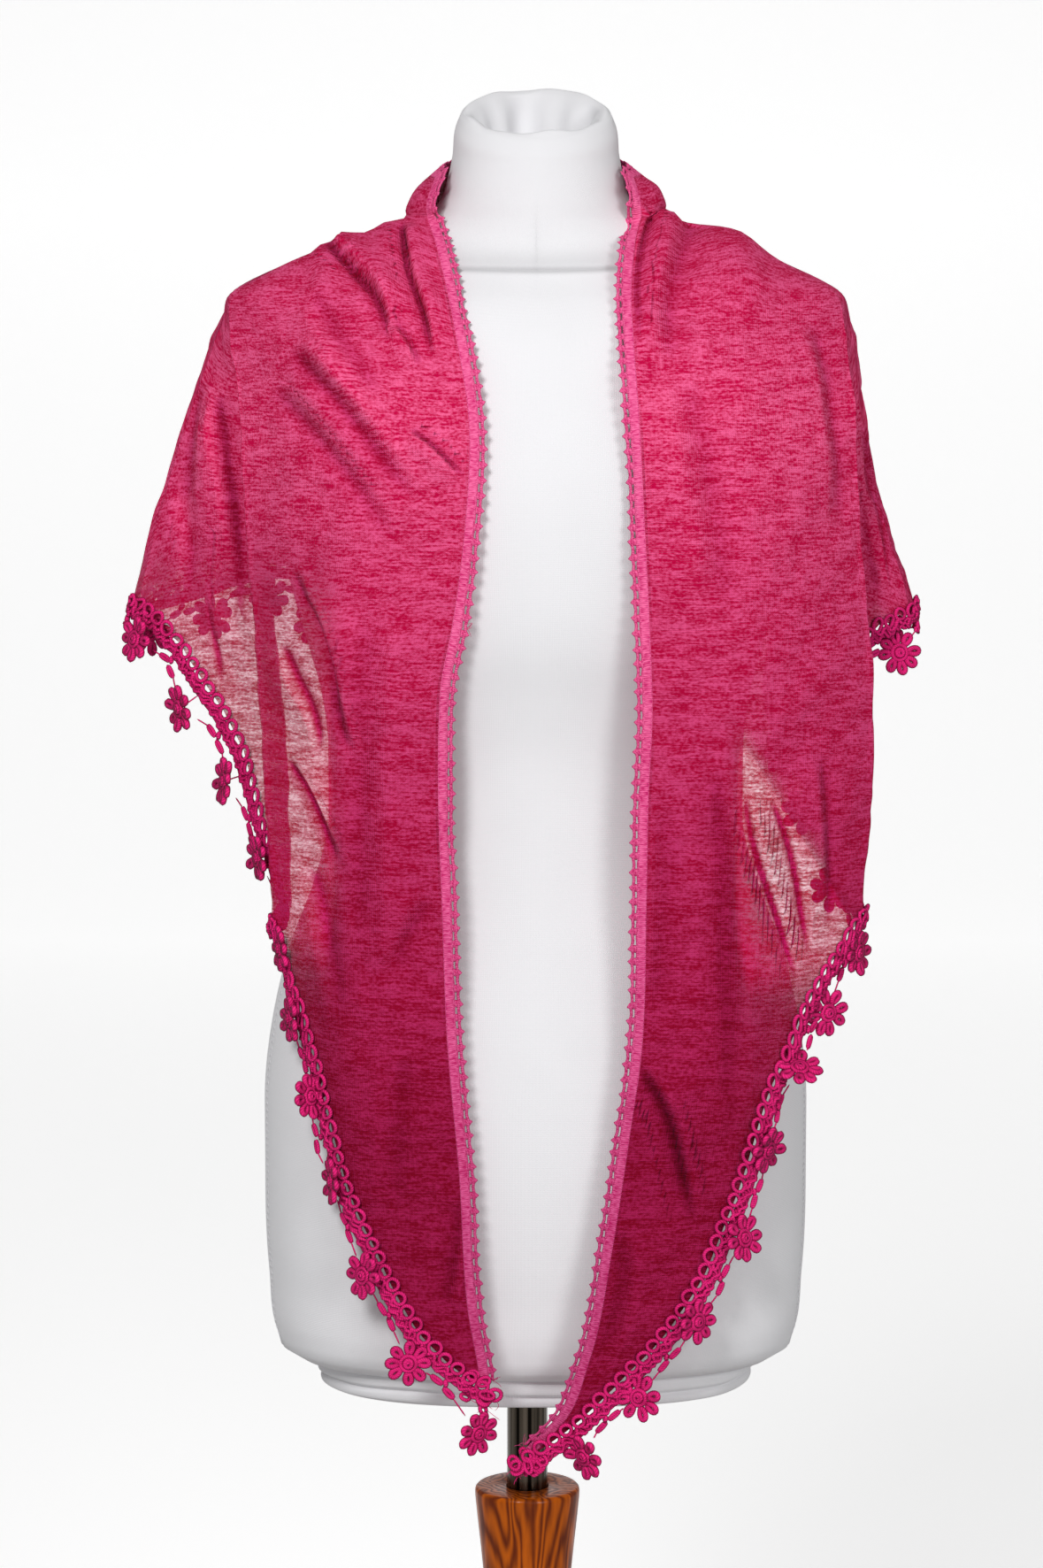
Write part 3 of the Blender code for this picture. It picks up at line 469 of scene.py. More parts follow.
def lengths_of(path, axis=0):
    """Distance run along a path of points, from 0 at its first point."""
    step = np.linalg.norm(np.diff(path, axis=axis), axis=-1)
    return np.insert(np.cumsum(step, axis=axis), 0, 0, axis=axis)


def rows_of(rows, columns):
    return zip(*(rows[name] for name in columns.split()))


def slopes_along(values, knots):
    """Second-order slopes of values (..., M) over uneven knots (..., M), one-sided at the ends."""
    step = np.diff(knots, axis=-1)
    rise = np.diff(values, axis=-1) / step
    before, after = step[..., :-1], step[..., 1:]
    middle = (rise[..., :-1] * after + rise[..., 1:] * before) / (before + after)
    inner = np.concatenate((rise[..., :1], middle, rise[..., -1:]), axis=-1)
    steep = np.abs(rise)
    left = np.concatenate((steep[..., :1], steep), axis=-1)
    right = np.concatenate((steep, steep[..., -1:]), axis=-1)
    limit = 3 * np.minimum(left, right)
    return np.clip(inner, -limit, limit)


def cubic(t, width, start, end, start_slope, end_slope):
    """Hermite cubic: start and end values joined with the given slopes, t from 0 to 1."""
    rise = (1 + 2 * t) * (1 - t) ** 2 * start + t * t * (3 - 2 * t) * end
    return rise + width * (t * (1 - t) ** 2 * start_slope + t * t * (t - 1) * end_slope)


def eased(at, knots, values):
    """Reads a column between its rows, as cubics through the rows."""
    slopes = slopes_along(values, knots)
    at = np.clip(at, knots[0], knots[-1])
    row = np.clip(np.searchsorted(knots, at, side="right") - 1, 0, len(knots) - 2)
    width = knots[row + 1] - knots[row]
    t = (at - knots[row]) / width
    return cubic(t, width, values[row], values[row + 1], slopes[row], slopes[row + 1])


def read(rows, column, at):
    return eased(np.asarray(at, float), rows["height"], rows[column])


def read_evenly(rows, columns, share):
    """Columns of a table whose rows lie at even shares from 0 to 1."""
    knots = np.linspace(0, 1, len(rows["height"]))
    return [eased(share, knots, rows[name]) for name in columns.split()]


def superellipse(angle, half, front, back, power):
    """Returns (outwards, depth) at an angle from the side, where plus 90 degrees is the front."""
    across = np.abs(np.cos(angle)) ** (2 / power) * np.sign(np.cos(angle)) * half
    reach = np.where(np.sin(angle) > 0, front, back)
    depth = -np.sign(np.sin(angle)) * np.abs(np.sin(angle)) ** (2 / power) * reach
    return across, depth


def form_sizes(height, spare=0.0):
    """The form's section at a height, with room to spare: half width, front, back, roundness."""
    *sizes, power = (read(FORM_RINGS, name, height) for name in SECTION_SIZES)
    return [size + spare for size in sizes] + [power]


def yoke_sections(height):
    """Section sizes on the shoulders: the form's own, blended up to the collar's."""
    lift = smooth_step((height - COLLAR_FOOT) / (COLLAR["height"][0] - COLLAR_FOOT))
    on_form = form_sizes(height - YOKE_DROP, CLEARANCE)
    collar = (read(COLLAR, name, height) for name in SECTION_SIZES)
    return [low + (high - low) * lift for low, high in zip(on_form, collar)]


def ring_marks(side, height):
    """The stations' (outwards, depth) at each height (N,) where the scarf lies on the shoulders."""
    half, front, back, power = (size[:, None] for size in yoke_sections(height))
    edge = np.clip(read(side, "edge", height)[:, None] / half, 0, WIDEST_EDGE)
    edge_angle = np.arccos(edge ** (power / 2))
    share = np.array(YOKE_SHARE)
    angle = np.where(share <= 1, edge_angle * (1 - share), -(share - 1) * math.pi / 2)
    return np.stack(superellipse(angle, half, front, back, power), axis=-1)


def hanging_marks(side, height):
    """The stations' (outwards, depth) at each height (N,) where the scarf hangs free."""
    edge, fold, under, wing, bend = (read(side, name, height) for name in SIDE_SIZES)
    deep = {name: read(DEPTHS, name, height) for name in DEPTHS if name != "height"}
    bend = np.minimum(bend, 0.5 * (fold - under))
    behind = deep["fold"] + 2 * bend
    marks = (
        (edge, deep["edge"]),
        (0.5 * (edge + fold), deep["chest"]),
        (fold - bend, deep["fold"] - bend),
        (fold, deep["fold"]),
        (fold - bend, deep["fold"] + bend),
        (under + bend, behind - bend),
        (under, behind),
        (under + bend, behind + bend),
        (0.5 * (under + wing), 0.5 * (behind + deep["wing"])),
        (wing - bend, deep["wing"] - bend),
        (wing, deep["wing"]),
        (wing - bend, deep["wing"] + bend),
        (BACK_SIDE_OUT, deep["back_side"]),
        (BACK_OUT, deep["back"]),
        (0.0, deep["centre"]),
    )
    return np.stack([stacked(*mark) for mark in marks], axis=1)


def clear_of_form(outwards, depth, height):
    """Moves points that come too near the form out to its section plus the clearance."""
    half, front, back, power = form_sizes(height, CLEARANCE)
    reach = np.where(depth < 0, front, back)
    inside = (np.abs(outwards / half) ** power + np.abs(depth / reach) ** power) ** (1 / power)
    grow = np.where(inside < 1, 1 / np.maximum(inside, 0.2), 1)
    return outwards * grow, depth * grow


def station_points(side, station, height):
    """Points (N, 3) for each station and height, and distances round the section from the front edge.

    The section runs through its marks as one smooth curve over the distance between them. The
    second distance is the section's whole length.
    """
    hang = smooth_step((HANG_TOP + YOKE_BLEND - height) / YOKE_BLEND)[:, None, None]
    marks = hanging_marks(side, height) * hang + ring_marks(side, height) * (1 - hang)
    span = np.maximum(np.linalg.norm(np.diff(marks, axis=1), axis=2), SHORTEST_SPAN)
    knots = np.insert(np.cumsum(span, axis=1), 0, 0, axis=1)
    first = np.clip(station.astype(int), 0, len(STATIONS) - 2)
    rows = np.arange(len(height))
    width = span[rows, first]
    t = station - first
    found = []
    for values in marks.transpose(2, 0, 1):
        slopes = slopes_along(values, knots)
        found.append(cubic(t, width, values[rows, first], values[rows, first + 1],
                           slopes[rows, first], slopes[rows, first + 1]))
    points = stacked(*clear_of_form(*found, height), height)
    return points, knots[rows, first] + t * width, knots[:, -1]


def fine_stations():
    steps = [np.linspace(k, k + 1, count, endpoint=False) for k, count in enumerate(STATION_STEPS[:-1])]
    return np.concatenate(steps + [[len(STATIONS) - 1.0]])


def crease_depths(creases, x, z):
    """Height added across the cloth by creases, the side of the nearest one and the strength of its painted
    shade and highlight.

    Each crease is a ridge, steep towards its trough and gentle away from it, beside a narrow trough.
    The side is the distance from the trough in crease widths, positive towards the ridge, within 3.
    The strength falls to nothing between two creases, where the side jumps from one to the other.
    """
    total, strength, second = np.zeros_like(x), np.zeros_like(x), np.zeros_like(x)
    nearest = np.full_like(x, CREASE_REACH)
    for *path, width, height, ridge, head in rows_of(creases, CREASE_COLUMNS):
        line = np.stack([eased(np.linspace(0, 1, 25), np.linspace(0, 1, 4), np.array(path[k::2]))
                         for k in (0, 1)], axis=1)
        low, high = line.min(axis=0) - CREASE_SPREAD * width, line.max(axis=0) + CREASE_SPREAD * width
        near = (x > low[0]) & (x < high[0]) & (z > low[1]) & (z < high[1])
        start, run = line[:-1], np.diff(line, axis=0)
        here = stacked(x[near], z[near])[:, None]
        share = np.clip(((here - start) * run).sum(-1) / (run * run).sum(-1), 0, 1)
        gap = here - (start + share[..., None] * run)
        apart = np.linalg.norm(gap, axis=-1)
        best = apart.argmin(axis=1)
        rows = np.arange(len(best))
        along = (best + share[rows, best]) / len(start)
        cross = run[best, 0] * gap[rows, best, 1] - run[best, 1] * gap[rows, best, 0]
        signed = apart[rows, best] * np.sign(cross) * ridge / width
        side = np.where(signed < RIDGE_AT, STEEP_SIDE, GENTLE_SIDE)
        fade = smooth_step(along / head) * smooth_step((1 - along) / CREASE_TAIL)
        total[near] += height * fade * (bell(signed - RIDGE_AT, side) - TROUGH_SHARE * bell(signed))
        # How strongly this crease gets its painted shade line and painted highlight.
        mark = min(1, height / LINE_SHADE_HEIGHT) * min(1, LINE_SHADE_WIDTH / width)
        mark = mark * smooth_step(along / head * 2) * smooth_step((1 - along) / 0.3)
        mark = mark * smooth_step((CREASE_REACH - np.abs(signed)) / 1.5)
        best = strength[near]
        nearest[near] = np.where(mark > best, signed, nearest[near])
        second[near] = np.maximum(second[near], np.minimum(mark, best))
        strength[near] = np.maximum(mark, best)
    nearest = np.clip(nearest, -CREASE_REACH, CREASE_REACH)
    return total, nearest, strength * smooth_step((strength - second) / 0.3)


def shoulder_lift(x, z):
    """Height of the folds that stand on the shoulders: bells with a reach of their own on each side."""
    total = np.zeros_like(x)
    for middle, left, right, height in rows_of(SHOULDER_FOLDS, "x left right height"):
        total += height * bell(x - middle, np.where(x < middle, left, right))
    return total * smooth_step((z - SHOULDER_FOOT) / SHOULDER_RISE)


def waves(a, b, seed, count, longest, shortest):
    """Soft unevenness: a sum of sine waves in random directions, about 1 high, over (a, b) in metres."""
    draw = np.random.default_rng(seed)
    total = np.zeros_like(a)
    for size in np.geomspace(longest, shortest, count):
        turn, phase = draw.uniform(0, math.pi), draw.uniform(0, 2 * math.pi)
        total += np.sin(2 * math.pi * (a * math.cos(turn) + b * math.sin(turn)) / size + phase)
    return total / math.sqrt(count)


def scarf_half(side, hem, sign):
    """One half of the scarf as points [station, row] from collar to hem, with its cloth coordinates.

    Cloth coordinates are metres along the long edge and across from it. At the front they follow the
    height and the way round the section, and towards the centre of the back they turn by a quarter.
    """
    stations = fine_stations()
    hem_height = eased(stations, hem["station"], hem["height"])
    hem_height = hem_height + HEM_RIPPLE * np.sin(stations * 23 + sign) * smooth_step(stations)
    levels = np.linspace(COLLAR_TOP, HANG_TOP, YOKE_ROWS + 1)
    share = np.linspace(0, 1, HANG_ROWS + 1)[1:] ** HANG_CROWDING
    height = np.concatenate((
        np.broadcast_to(levels, (len(stations), len(levels))),
        HANG_TOP + (hem_height[:, None] - HANG_TOP) * share,
    ), axis=1)
    station = np.broadcast_to(stations[:, None], height.shape)
    points, around, whole = (found.reshape(*height.shape, *found.shape[1:])
                             for found in station_points(side, station.ravel(), height.ravel()))
    fade = smooth_step((height - COLLAR_FOOT) / (COLLAR_TOP - COLLAR_FOOT))
    points[..., 2] += COLLAR_RISE * np.sin(0.5 * math.pi * around / whole) * fade
    points[..., 0] = FORM_CENTRE_X + sign * points[..., 0]
    down = lengths_of(points, axis=1)
    fall = np.interp(-height, -height[0], down[0]) + CLOTH_START
    turned = smooth_step((station - TURN_FROM) / TURN_OVER)
    a = fall * (1 - turned) + (whole - around) * turned
    b = around * (1 - turned) + (down + CLOTH_START) * turned
    return points, stacked(sign * a, b), station


def surface_normals(points):
    """Unit normals of a grid [i, j], from the slopes along its two directions."""
    return unit(np.cross(np.gradient(points, axis=0), np.gradient(points, axis=1)))


def see_through(x, z, station, sign):
    """How far light from behind shows through the cloth, by its holes and as painted backlight in its
    colour: most where one layer hangs free.

    It fades in at both sides of the form and below the double cloth, and out towards the thick tips.
    """
    low = 0.2 + 0.8 * smooth_step((z - 0.74) / 0.11)
    aside = smooth_step((np.abs(x - FORM_CENTRE_X) - FORM_SIDE) / 0.020)
    if sign < 0:
        return low * (0.22 + LEFT_THIN * aside * smooth_step((LEFT_THIN_BELOW - z) / 0.05))
    high = smooth_step((RIGHT_THIN_BELOW - z) / 0.035) * (station < FRONT_TO)
    past = WINDOW_SLANT[0] * (x - WINDOW_CORNER[0]) + WINDOW_SLANT[1] * (z - WINDOW_CORNER[1])
    return low * (0.22 + RIGHT_THIN * aside * high * smooth_step((-0.003 - past) / 0.014))


def folded_half(side, hem, sign):
    """The half with its creases and soft unevenness pressed in along its normals."""
    points, cloth, station = scarf_half(side, hem, sign)
    normal = surface_normals(points) * -sign
    x, z = points[..., 0], points[..., 2]
    front = smooth_step((FRONT_TO - station) / 0.5)
    wing = smooth_step((station - WING_FROM) / 0.4) * smooth_step((WING_TO - station) / 0.4)
    back = smooth_step((station - BACK_FROM) / 0.6)
    # crease_shading is how strongly each point gets the creases' painted shade and painted highlight.
    raised, aside, crease_shading = np.zeros_like(x), np.full_like(x, CREASE_REACH), np.zeros_like(x)
    for share, creases in ((front, FRONT_CREASES), (wing, WING_CREASES), (back, BACK_CREASES)):
        added, away, strength = crease_depths(creases, x, z)
        raised, crease_shading = raised + share * added, crease_shading + share * strength
        aside = np.where(share > 0.01, away, aside)
    loose = smooth_step((COLLAR_FOOT + 0.003 - z) / 0.05)
    a, b = cloth[..., 0], cloth[..., 1]
    raised = raised + LARGE_WAVES * loose * waves(a, b, SEED + (sign > 0), 9, 0.20, 0.035)
    raised = raised + SMALL_WAVES * loose * waves(a, b, SEED + 5, 10, 0.030, 0.010)
    edge = smooth_step(station / 0.12 + 0.25)
    points = points + normal * (raised * edge)[..., None]
    outwards, depth = clear_of_form((points[..., 0] - FORM_CENTRE_X) * sign, points[..., 1], points[..., 2])
    points[..., 0], points[..., 1] = FORM_CENTRE_X + sign * outwards, depth
    points[..., 2] += shoulder_lift(points[..., 0], points[..., 2])
    # through places the knit's holes and its painted backlight.
    through = see_through(points[..., 0], points[..., 2], station, sign)
    return points, cloth, (through, aside, crease_shading)


# Meshes


def mesh_piece(name, parts, finish):
    """Joins parts of (points, faces as rows of one length, corner uv) into one smooth mesh object."""
    faces, start = [], 0
    for points, part_faces, _ in parts:
        faces.extend((part_faces + start).tolist())
        start += points.size // 3
    points = np.concatenate([part[0].reshape(-1, 3) for part in parts])
    uv = np.concatenate([part[2].reshape(-1, 2) for part in parts])
    mesh = bpy.data.meshes.new(name)
    mesh.from_pydata(points.tolist(), [], faces)
    mesh.uv_layers.new(name="UVMap").data.foreach_set("uv", uv.astype(np.float32).ravel())
    mesh.materials.append(finish)
    mesh.shade_smooth()
    mesh.update()
    made = bpy.data.objects.new(name, mesh)
    bpy.context.scene.collection.objects.link(made)
    return made


def grid_part(points, uv, wrap=False, flip=False):
    """Quads of a grid [i, j] with uv [i, j]. With wrap, the last column joins the first."""
    count, rows = points.shape[:2]
    i, j = np.meshgrid(np.arange(count if wrap else count - 1), np.arange(rows - 1), indexing="ij")
    k = (i + 1) % count
    faces = np.stack((i * rows + j, k * rows + j, k * rows + j + 1, i * rows + j + 1), axis=-1)
    faces = faces.reshape(-1, 4)
    corner = uv.reshape(-1, 2)[faces]
    if flip:
        faces, corner = faces[:, ::-1], corner[:, ::-1]
    return points, faces, corner


def cap_part(rings, before):
    """One face over each ring of point numbers, of a part that has the given number of points."""
    return np.zeros((0, 3)), rings - before, np.zeros((rings.size, 2))


def closed_grid(points, uv):
    """A grid that wraps round, with one face over each of its two ends."""
    count, rows = points.shape[:2]
    ring = np.arange(count)[None] * rows
    ends = np.concatenate((ring, ring[:, ::-1] + rows - 1))
    return [grid_part(points, uv, wrap=True, flip=True), cap_part(ends, count * rows)]


def tube_part(paths, radius, up, sides=6, closed=False, flat=1.0):
    """Round cords along paths (K, M, 3): a ring about each point, in the plane across the path.

    radius is a number or (K, M). up is a direction that no path runs along, (3,) or (K, M, 3).
    flat is the cord's thickness towards up as a share of its width. The uv is metres along the
    cord and metres round it. Open ends narrow to a small cap.
    """
    count, steps = paths.shape[:2]
    after = np.roll(paths, -1, axis=1)
    along = unit(after - np.roll(paths, 1, axis=1) if closed else np.gradient(paths, axis=1))
    side = unit(np.cross(along, np.broadcast_to(up, paths.shape)))
    lift = np.cross(side, along) * flat
    radius = np.broadcast_to(radius, (count, steps)).copy()
    if not closed:
        radius[:, (0, -1)] *= 0.35
    angle = round_turn(sides)
    round_way = side[:, :, None] * np.cos(angle)[:, None] + lift[:, :, None] * np.sin(angle)[:, None]
    points = paths[:, :, None] + radius[:, :, None, None] * round_way
    spans = steps if closed else steps - 1
    step = np.linalg.norm(after - paths, axis=-1)[:, :spans]
    far = np.insert(np.cumsum(step, axis=1), 0, 0, axis=1)
    c, m, s = np.meshgrid(np.arange(count), np.arange(spans), np.arange(sides), indexing="ij")
    here, there = (c * steps + m) * sides, (c * steps + (m + 1) % steps) * sides
    t = (s + 1) % sides
    faces = np.stack((here + s, here + t, there + t, there + s), axis=-1).reshape(-1, 4)
    girth = 2 * math.pi * float(radius.mean()) / sides
    low, high, left, right = far[c, m], far[c, m + 1], s * girth, (s + 1) * girth
    corners = ((low, left), (low, right), (high, right), (high, left))
    parts = [(points, faces, np.stack([stacked(*corner) for corner in corners], axis=-2))]
    if not closed:
        ring, first = np.arange(sides), np.arange(count)[:, None] * steps * sides
        ends = np.concatenate((first + ring[::-1], first + (steps - 1) * sides + ring))
        parts.append(cap_part(ends, points.size // 3))
    return parts


def face_outwards(obj):
    work = bmesh.new()
    work.from_mesh(obj.data)
    bmesh.ops.recalc_face_normals(work, faces=work.faces)
    work.to_mesh(obj.data)
    work.free()


def store(obj, name, values):
    """Keeps one value a point on the mesh, for its material."""
    mark = obj.data.attributes.new(name, "FLOAT", "POINT")
    mark.data.foreach_set("value", values.ravel())


def place(obj, slot, *nodes):
    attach(obj, "root")
    if nodes:
        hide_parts(*nodes)


# Materials


class Nodes:
    """One shader tree, with a short method for each kind of node that the materials use.

    A value is a plain number, vector or colour, or another node's output, which is linked.
    """

    def __init__(self, tree):
        self.tree = tree

    def give(self, value, socket):
        if isinstance(value, bpy.types.NodeSocket):
            self.tree.links.new(value, socket)
        else:
            socket.default_value = value

    def make(self, kind, inputs=None, **settings):
        made = self.tree.nodes.new("ShaderNode" + kind)
        for name, value in settings.items():
            setattr(made, name, value)
        for name, value in (inputs or {}).items():
            self.give(value, made.inputs[name])
        return made

    def math(self, kind, *values):
        return self.make("Math", dict(enumerate(values)), operation=kind).outputs[0]

    def times(self, first, second):
        return self.math("MULTIPLY", first, second)

    def times_add(self, first, second, third):
        """First times second, plus third."""
        return self.math("MULTIPLY_ADD", first, second, third)

    def mix(self, share, first, second, blend="MIX"):
        made = self.make("Mix", data_type="RGBA", blend_type=blend)
        self.give(share, made.inputs[0])
        for value, socket in ((first, made.inputs[6]), (second, made.inputs[7])):
            self.give((*value, 1) if isinstance(value, tuple) else value, socket)
        return made.outputs[2]

    def spread(self, value, low, high, to_low=0.0, to_high=1.0):
        """Maps the range low to high onto to_low to to_high, without going past it."""
        return self.make("MapRange", {"Value": value, "From Min": low, "From Max": high,
                                      "To Min": to_low, "To Max": to_high}).outputs["Result"]

    def noise(self, vector, scale, detail):
        return self.make("TexNoise", {"Vector": vector, "Scale": scale, "Detail": detail}).outputs["Fac"]

    def axes(self, vector):
        return self.make("SeparateXYZ", {0: vector}).outputs

    def vector(self, *values):
        return self.make("CombineXYZ", dict(enumerate(values))).outputs[0]

    def stored(self, name):
        """A value that the mesh keeps at its points."""
        return self.make("Attribute", attribute_name=name).outputs["Fac"]

    def uv(self):
        return self.make("UVMap", uv_map="UVMap").outputs[0]

    def object_place(self):
        return self.make("TexCoord").outputs["Object"]

    def group(self, name, **inputs):
        inputs = {label.replace("_", " "): value for label, value in inputs.items()}
        return self.make("Group", inputs, node_tree=bpy.data.node_groups[name]).outputs

    def bump(self, height, distance):
        return self.make("Bump", {"Height": height, "Distance": distance}).outputs["Normal"]


def new_group(name, inputs, outputs):
    """A node group of values. Its inputs are named with their defaults, and None makes a vector."""
    tree = bpy.data.node_groups.new(name, "ShaderNodeTree")
    for label, default in inputs.items():
        kind = "NodeSocketVector" if default is None else "NodeSocketFloat"
        socket = tree.interface.new_socket(label, in_out="INPUT", socket_type=kind)
        if default is not None:
            socket.default_value = default
    for label in outputs:
        tree.interface.new_socket(label, in_out="OUTPUT", socket_type="NodeSocketFloat")
    nodes = Nodes(tree)
    return nodes, tree.nodes.new("NodeGroupInput").outputs, tree.nodes.new("NodeGroupOutput").inputs


def heather_group():
    """Marled yarn: streaks long across the cloth and thin along it, with patches of close knit.

    Yarn is 0 for dark and 1 for pale streaks. Thin is 1 where the knit is most open.
    """
    nodes, given, out = new_group(
        "Heather yarn", {"Vector": None, "Streak width": 0.001, "Streak length": 0.015}, ("Yarn", "Thin"))
    parts = nodes.axes(given["Vector"])
    across = nodes.math("DIVIDE", parts[0], given["Streak width"])
    along = nodes.math("DIVIDE", parts[1], given["Streak length"])
    layers = []
    for wide, long, lift, low, high in (
            (0.78, 1.35, 0.0, 0.38, 0.63), (0.9, 6.5, 5.0, 0.37, 0.63), (0.16, 0.36, 9.0, 0.36, 0.64)):
        sheet = nodes.vector(nodes.times(across, wide), nodes.times(along, long), lift)
        layers.append(nodes.spread(nodes.noise(sheet, 1.0, 3.0), low, high))
    streak, fleck, cloud = layers
    for label, fine, coarse, low, high in (
            ("Yarn", 0.38, 0.24, 0.27, 0.77), ("Thin", 0.34, 0.32, 0.15, 0.85)):
        value = nodes.times_add(streak, fine, nodes.times(fleck, fine))
        value = nodes.times_add(cloud, coarse, value)
        nodes.give(nodes.spread(value, low, high), out[label])


def crease_group():
    """Painted shade along the sharp bottom of each crease: a narrow bell in the distance aside, with a
    painted highlight in a lit bell beside it and a faint, wide painted shade on its other side.
    """
    nodes, given, out = new_group("Crease painted shading", {"Aside": 0.0, "Crease": 0.0}, ("Painted shading", "Height"))
    bells = []
    for middle, sharp in ((0.0, -3.2), (1.3, -1.6), (-0.5, -0.35)):
        away = nodes.math("SUBTRACT", given["Aside"], middle)
        curve = nodes.math("EXPONENT", nodes.times(nodes.times(away, away), sharp))
        bells.append(nodes.times(curve, given["Crease"]))
    line, lit, shade = bells
    # Painted shading: the line and the wide shade darken the colour, and the lit bell lightens it.
    tone = nodes.times_add(shade, -0.16, nodes.times_add(line, -0.42, 1.0))
    nodes.give(nodes.times_add(lit, 0.10, tone), out["Painted shading"])
    nodes.give(nodes.math("SUBTRACT", lit, line), out["Height"])


def stitch_group():
    """Rows of knit stitches: a V every course, as the height of crossed sine waves."""
    nodes, given, out = new_group("Knit stitches", {"Vector": None, "Course": 0.0011, "Wale": 0.0013},
                                  ("Height",))
    parts = nodes.axes(given["Vector"])
    wale = nodes.math("DIVIDE", nodes.times(parts[1], 2 * math.pi), given["Wale"])
    lean = nodes.math("ABSOLUTE", nodes.math("SINE", nodes.times(wale, 0.5)))
    course = nodes.math("DIVIDE", nodes.times(parts[0], 2 * math.pi), given["Course"])
    loops = nodes.math("SINE", nodes.times_add(lean, 2.4, course))
    ribs = nodes.math("COSINE", wale)
    nodes.give(nodes.times_add(loops, 0.5, nodes.times(ribs, 0.35)), out["Height"])


def twist_group():
    """Thread wound round a cord: a sine over the length and the girth, which runs askew."""
    nodes, given, out = new_group("Wound thread", {"Vector": None, "Turn": 0.0012}, ("Height",))
    parts = nodes.axes(given["Vector"])
    skew = nodes.times(nodes.times_add(parts[1], 0.55, parts[0]), 2 * math.pi)
    wave = nodes.math("SINE", nodes.math("DIVIDE", skew, given["Turn"]))
    nodes.give(nodes.times_add(wave, 0.5, 0.5), out["Height"])


def new_material(name, roughness, **constants):
    """A material, its nodes and its shader's inputs. Constants don't change over the surface."""
    made = bpy.data.materials.new(name)
    made.use_nodes = True
    shader = made.node_tree.nodes["Principled BSDF"].inputs
    shader["Roughness"].default_value = roughness
    for label, value in constants.items():
        shader[label.replace("_", " ")].default_value = value
    return made, Nodes(made.node_tree), shader


def shaded(colour_value, share):
    return tuple(min(1, share * part) for part in colour_value)


def knit_material(settings):
    """Heather knit, open between its yarns, with painted shading. It is thicker and deeper in tone towards
    the tips.
    """
    made, nodes, shader = new_material("Heather knit", 0.9, Sheen_Weight=0.02, Sheen_Roughness=0.4,
                                       Specular_IOR_Level=0.08, Sheen_Tint=(0.9, 0.25, 0.45, 1))
    uv = nodes.uv()
    yarn = nodes.group("Heather yarn", Vector=uv, Streak_width=settings.streak_width,
                       Streak_length=settings.streak_length)
    through = nodes.stored("open")
    fold = nodes.group("Crease painted shading", Aside=nodes.stored("aside"), Crease=nodes.stored("crease"))
    height = nodes.axes(nodes.object_place())[2]
    # Darker towards the collar, times the creases' painted shade and painted highlight.
    painted_shading = nodes.times(nodes.spread(height, 1.13, 1.23, 1.0, 0.86), fold["Painted shading"])
    share = nodes.times(nodes.spread(height, 0.70, 1.12, settings.tip_tone, 1.0), painted_shading)
    # Painted backlight: where light from behind shows through, red and blue are kept bright in the colour.
    painted_backlight = nodes.times(nodes.spread(through, 0.25, 0.9, 0.0, 0.86), painted_shading)
    base = nodes.mix(yarn["Yarn"], tuple(settings.deep), tuple(settings.light))
    red = nodes.math("MAXIMUM", share, painted_backlight)
    green = nodes.math("POWER", share, 2.5)
    blue = nodes.math("MAXIMUM", nodes.math("POWER", share, 1.45), nodes.times(painted_backlight, 0.72))
    nodes.give(nodes.mix(1.0, base, nodes.vector(red, green, blue), "MULTIPLY"), shader["Base Color"])
    hole = nodes.spread(yarn["Thin"], 0, 1, max(0, settings.openness - 0.24), settings.openness + 0.24)
    hole = nodes.times(nodes.times(hole, through), nodes.spread(fold["Painted shading"], 0.7, 1.0))
    nodes.give(nodes.math("SUBTRACT", 1.0, hole), shader["Alpha"])
    loops = nodes.group("Knit stitches", Vector=uv, Course=0.0011, Wale=0.0014)
    relief = nodes.times_add(yarn["Yarn"], 0.6, loops["Height"])
    relief = nodes.times_add(fold["Height"], 8.0, relief)
    nodes.give(nodes.bump(relief, 0.00022), shader["Normal"])
    return made


def tape_material(settings):
    made, nodes, shader = new_material("Picot tape", 0.85, Specular_IOR_Level=0.1)
    uv = nodes.uv()
    mark = nodes.times_add(nodes.noise(uv, 60.0, 1.0), 0.25, nodes.noise(uv, 800.0, 1.0))
    thread = nodes.mix(nodes.spread(mark, 0.42, 0.76), tuple(settings.deep), tuple(settings.light))
    # Painted shade: the tape's colour gets darker towards the bottom, where less light falls on it.
    painted_shading = nodes.spread(nodes.axes(nodes.object_place())[2], 0.60, 1.00, 0.70, 1.0)
    tone = nodes.vector(painted_shading, nodes.math("POWER", painted_shading, 1.6), painted_shading)
    nodes.give(nodes.mix(1.0, thread, tone, "MULTIPLY"), shader["Base Color"])
    loops = nodes.group("Knit stitches", Vector=uv, Course=0.0012, Wale=0.0013)
    nodes.give(nodes.bump(loops["Height"], 0.00025), shader["Normal"])
    return made


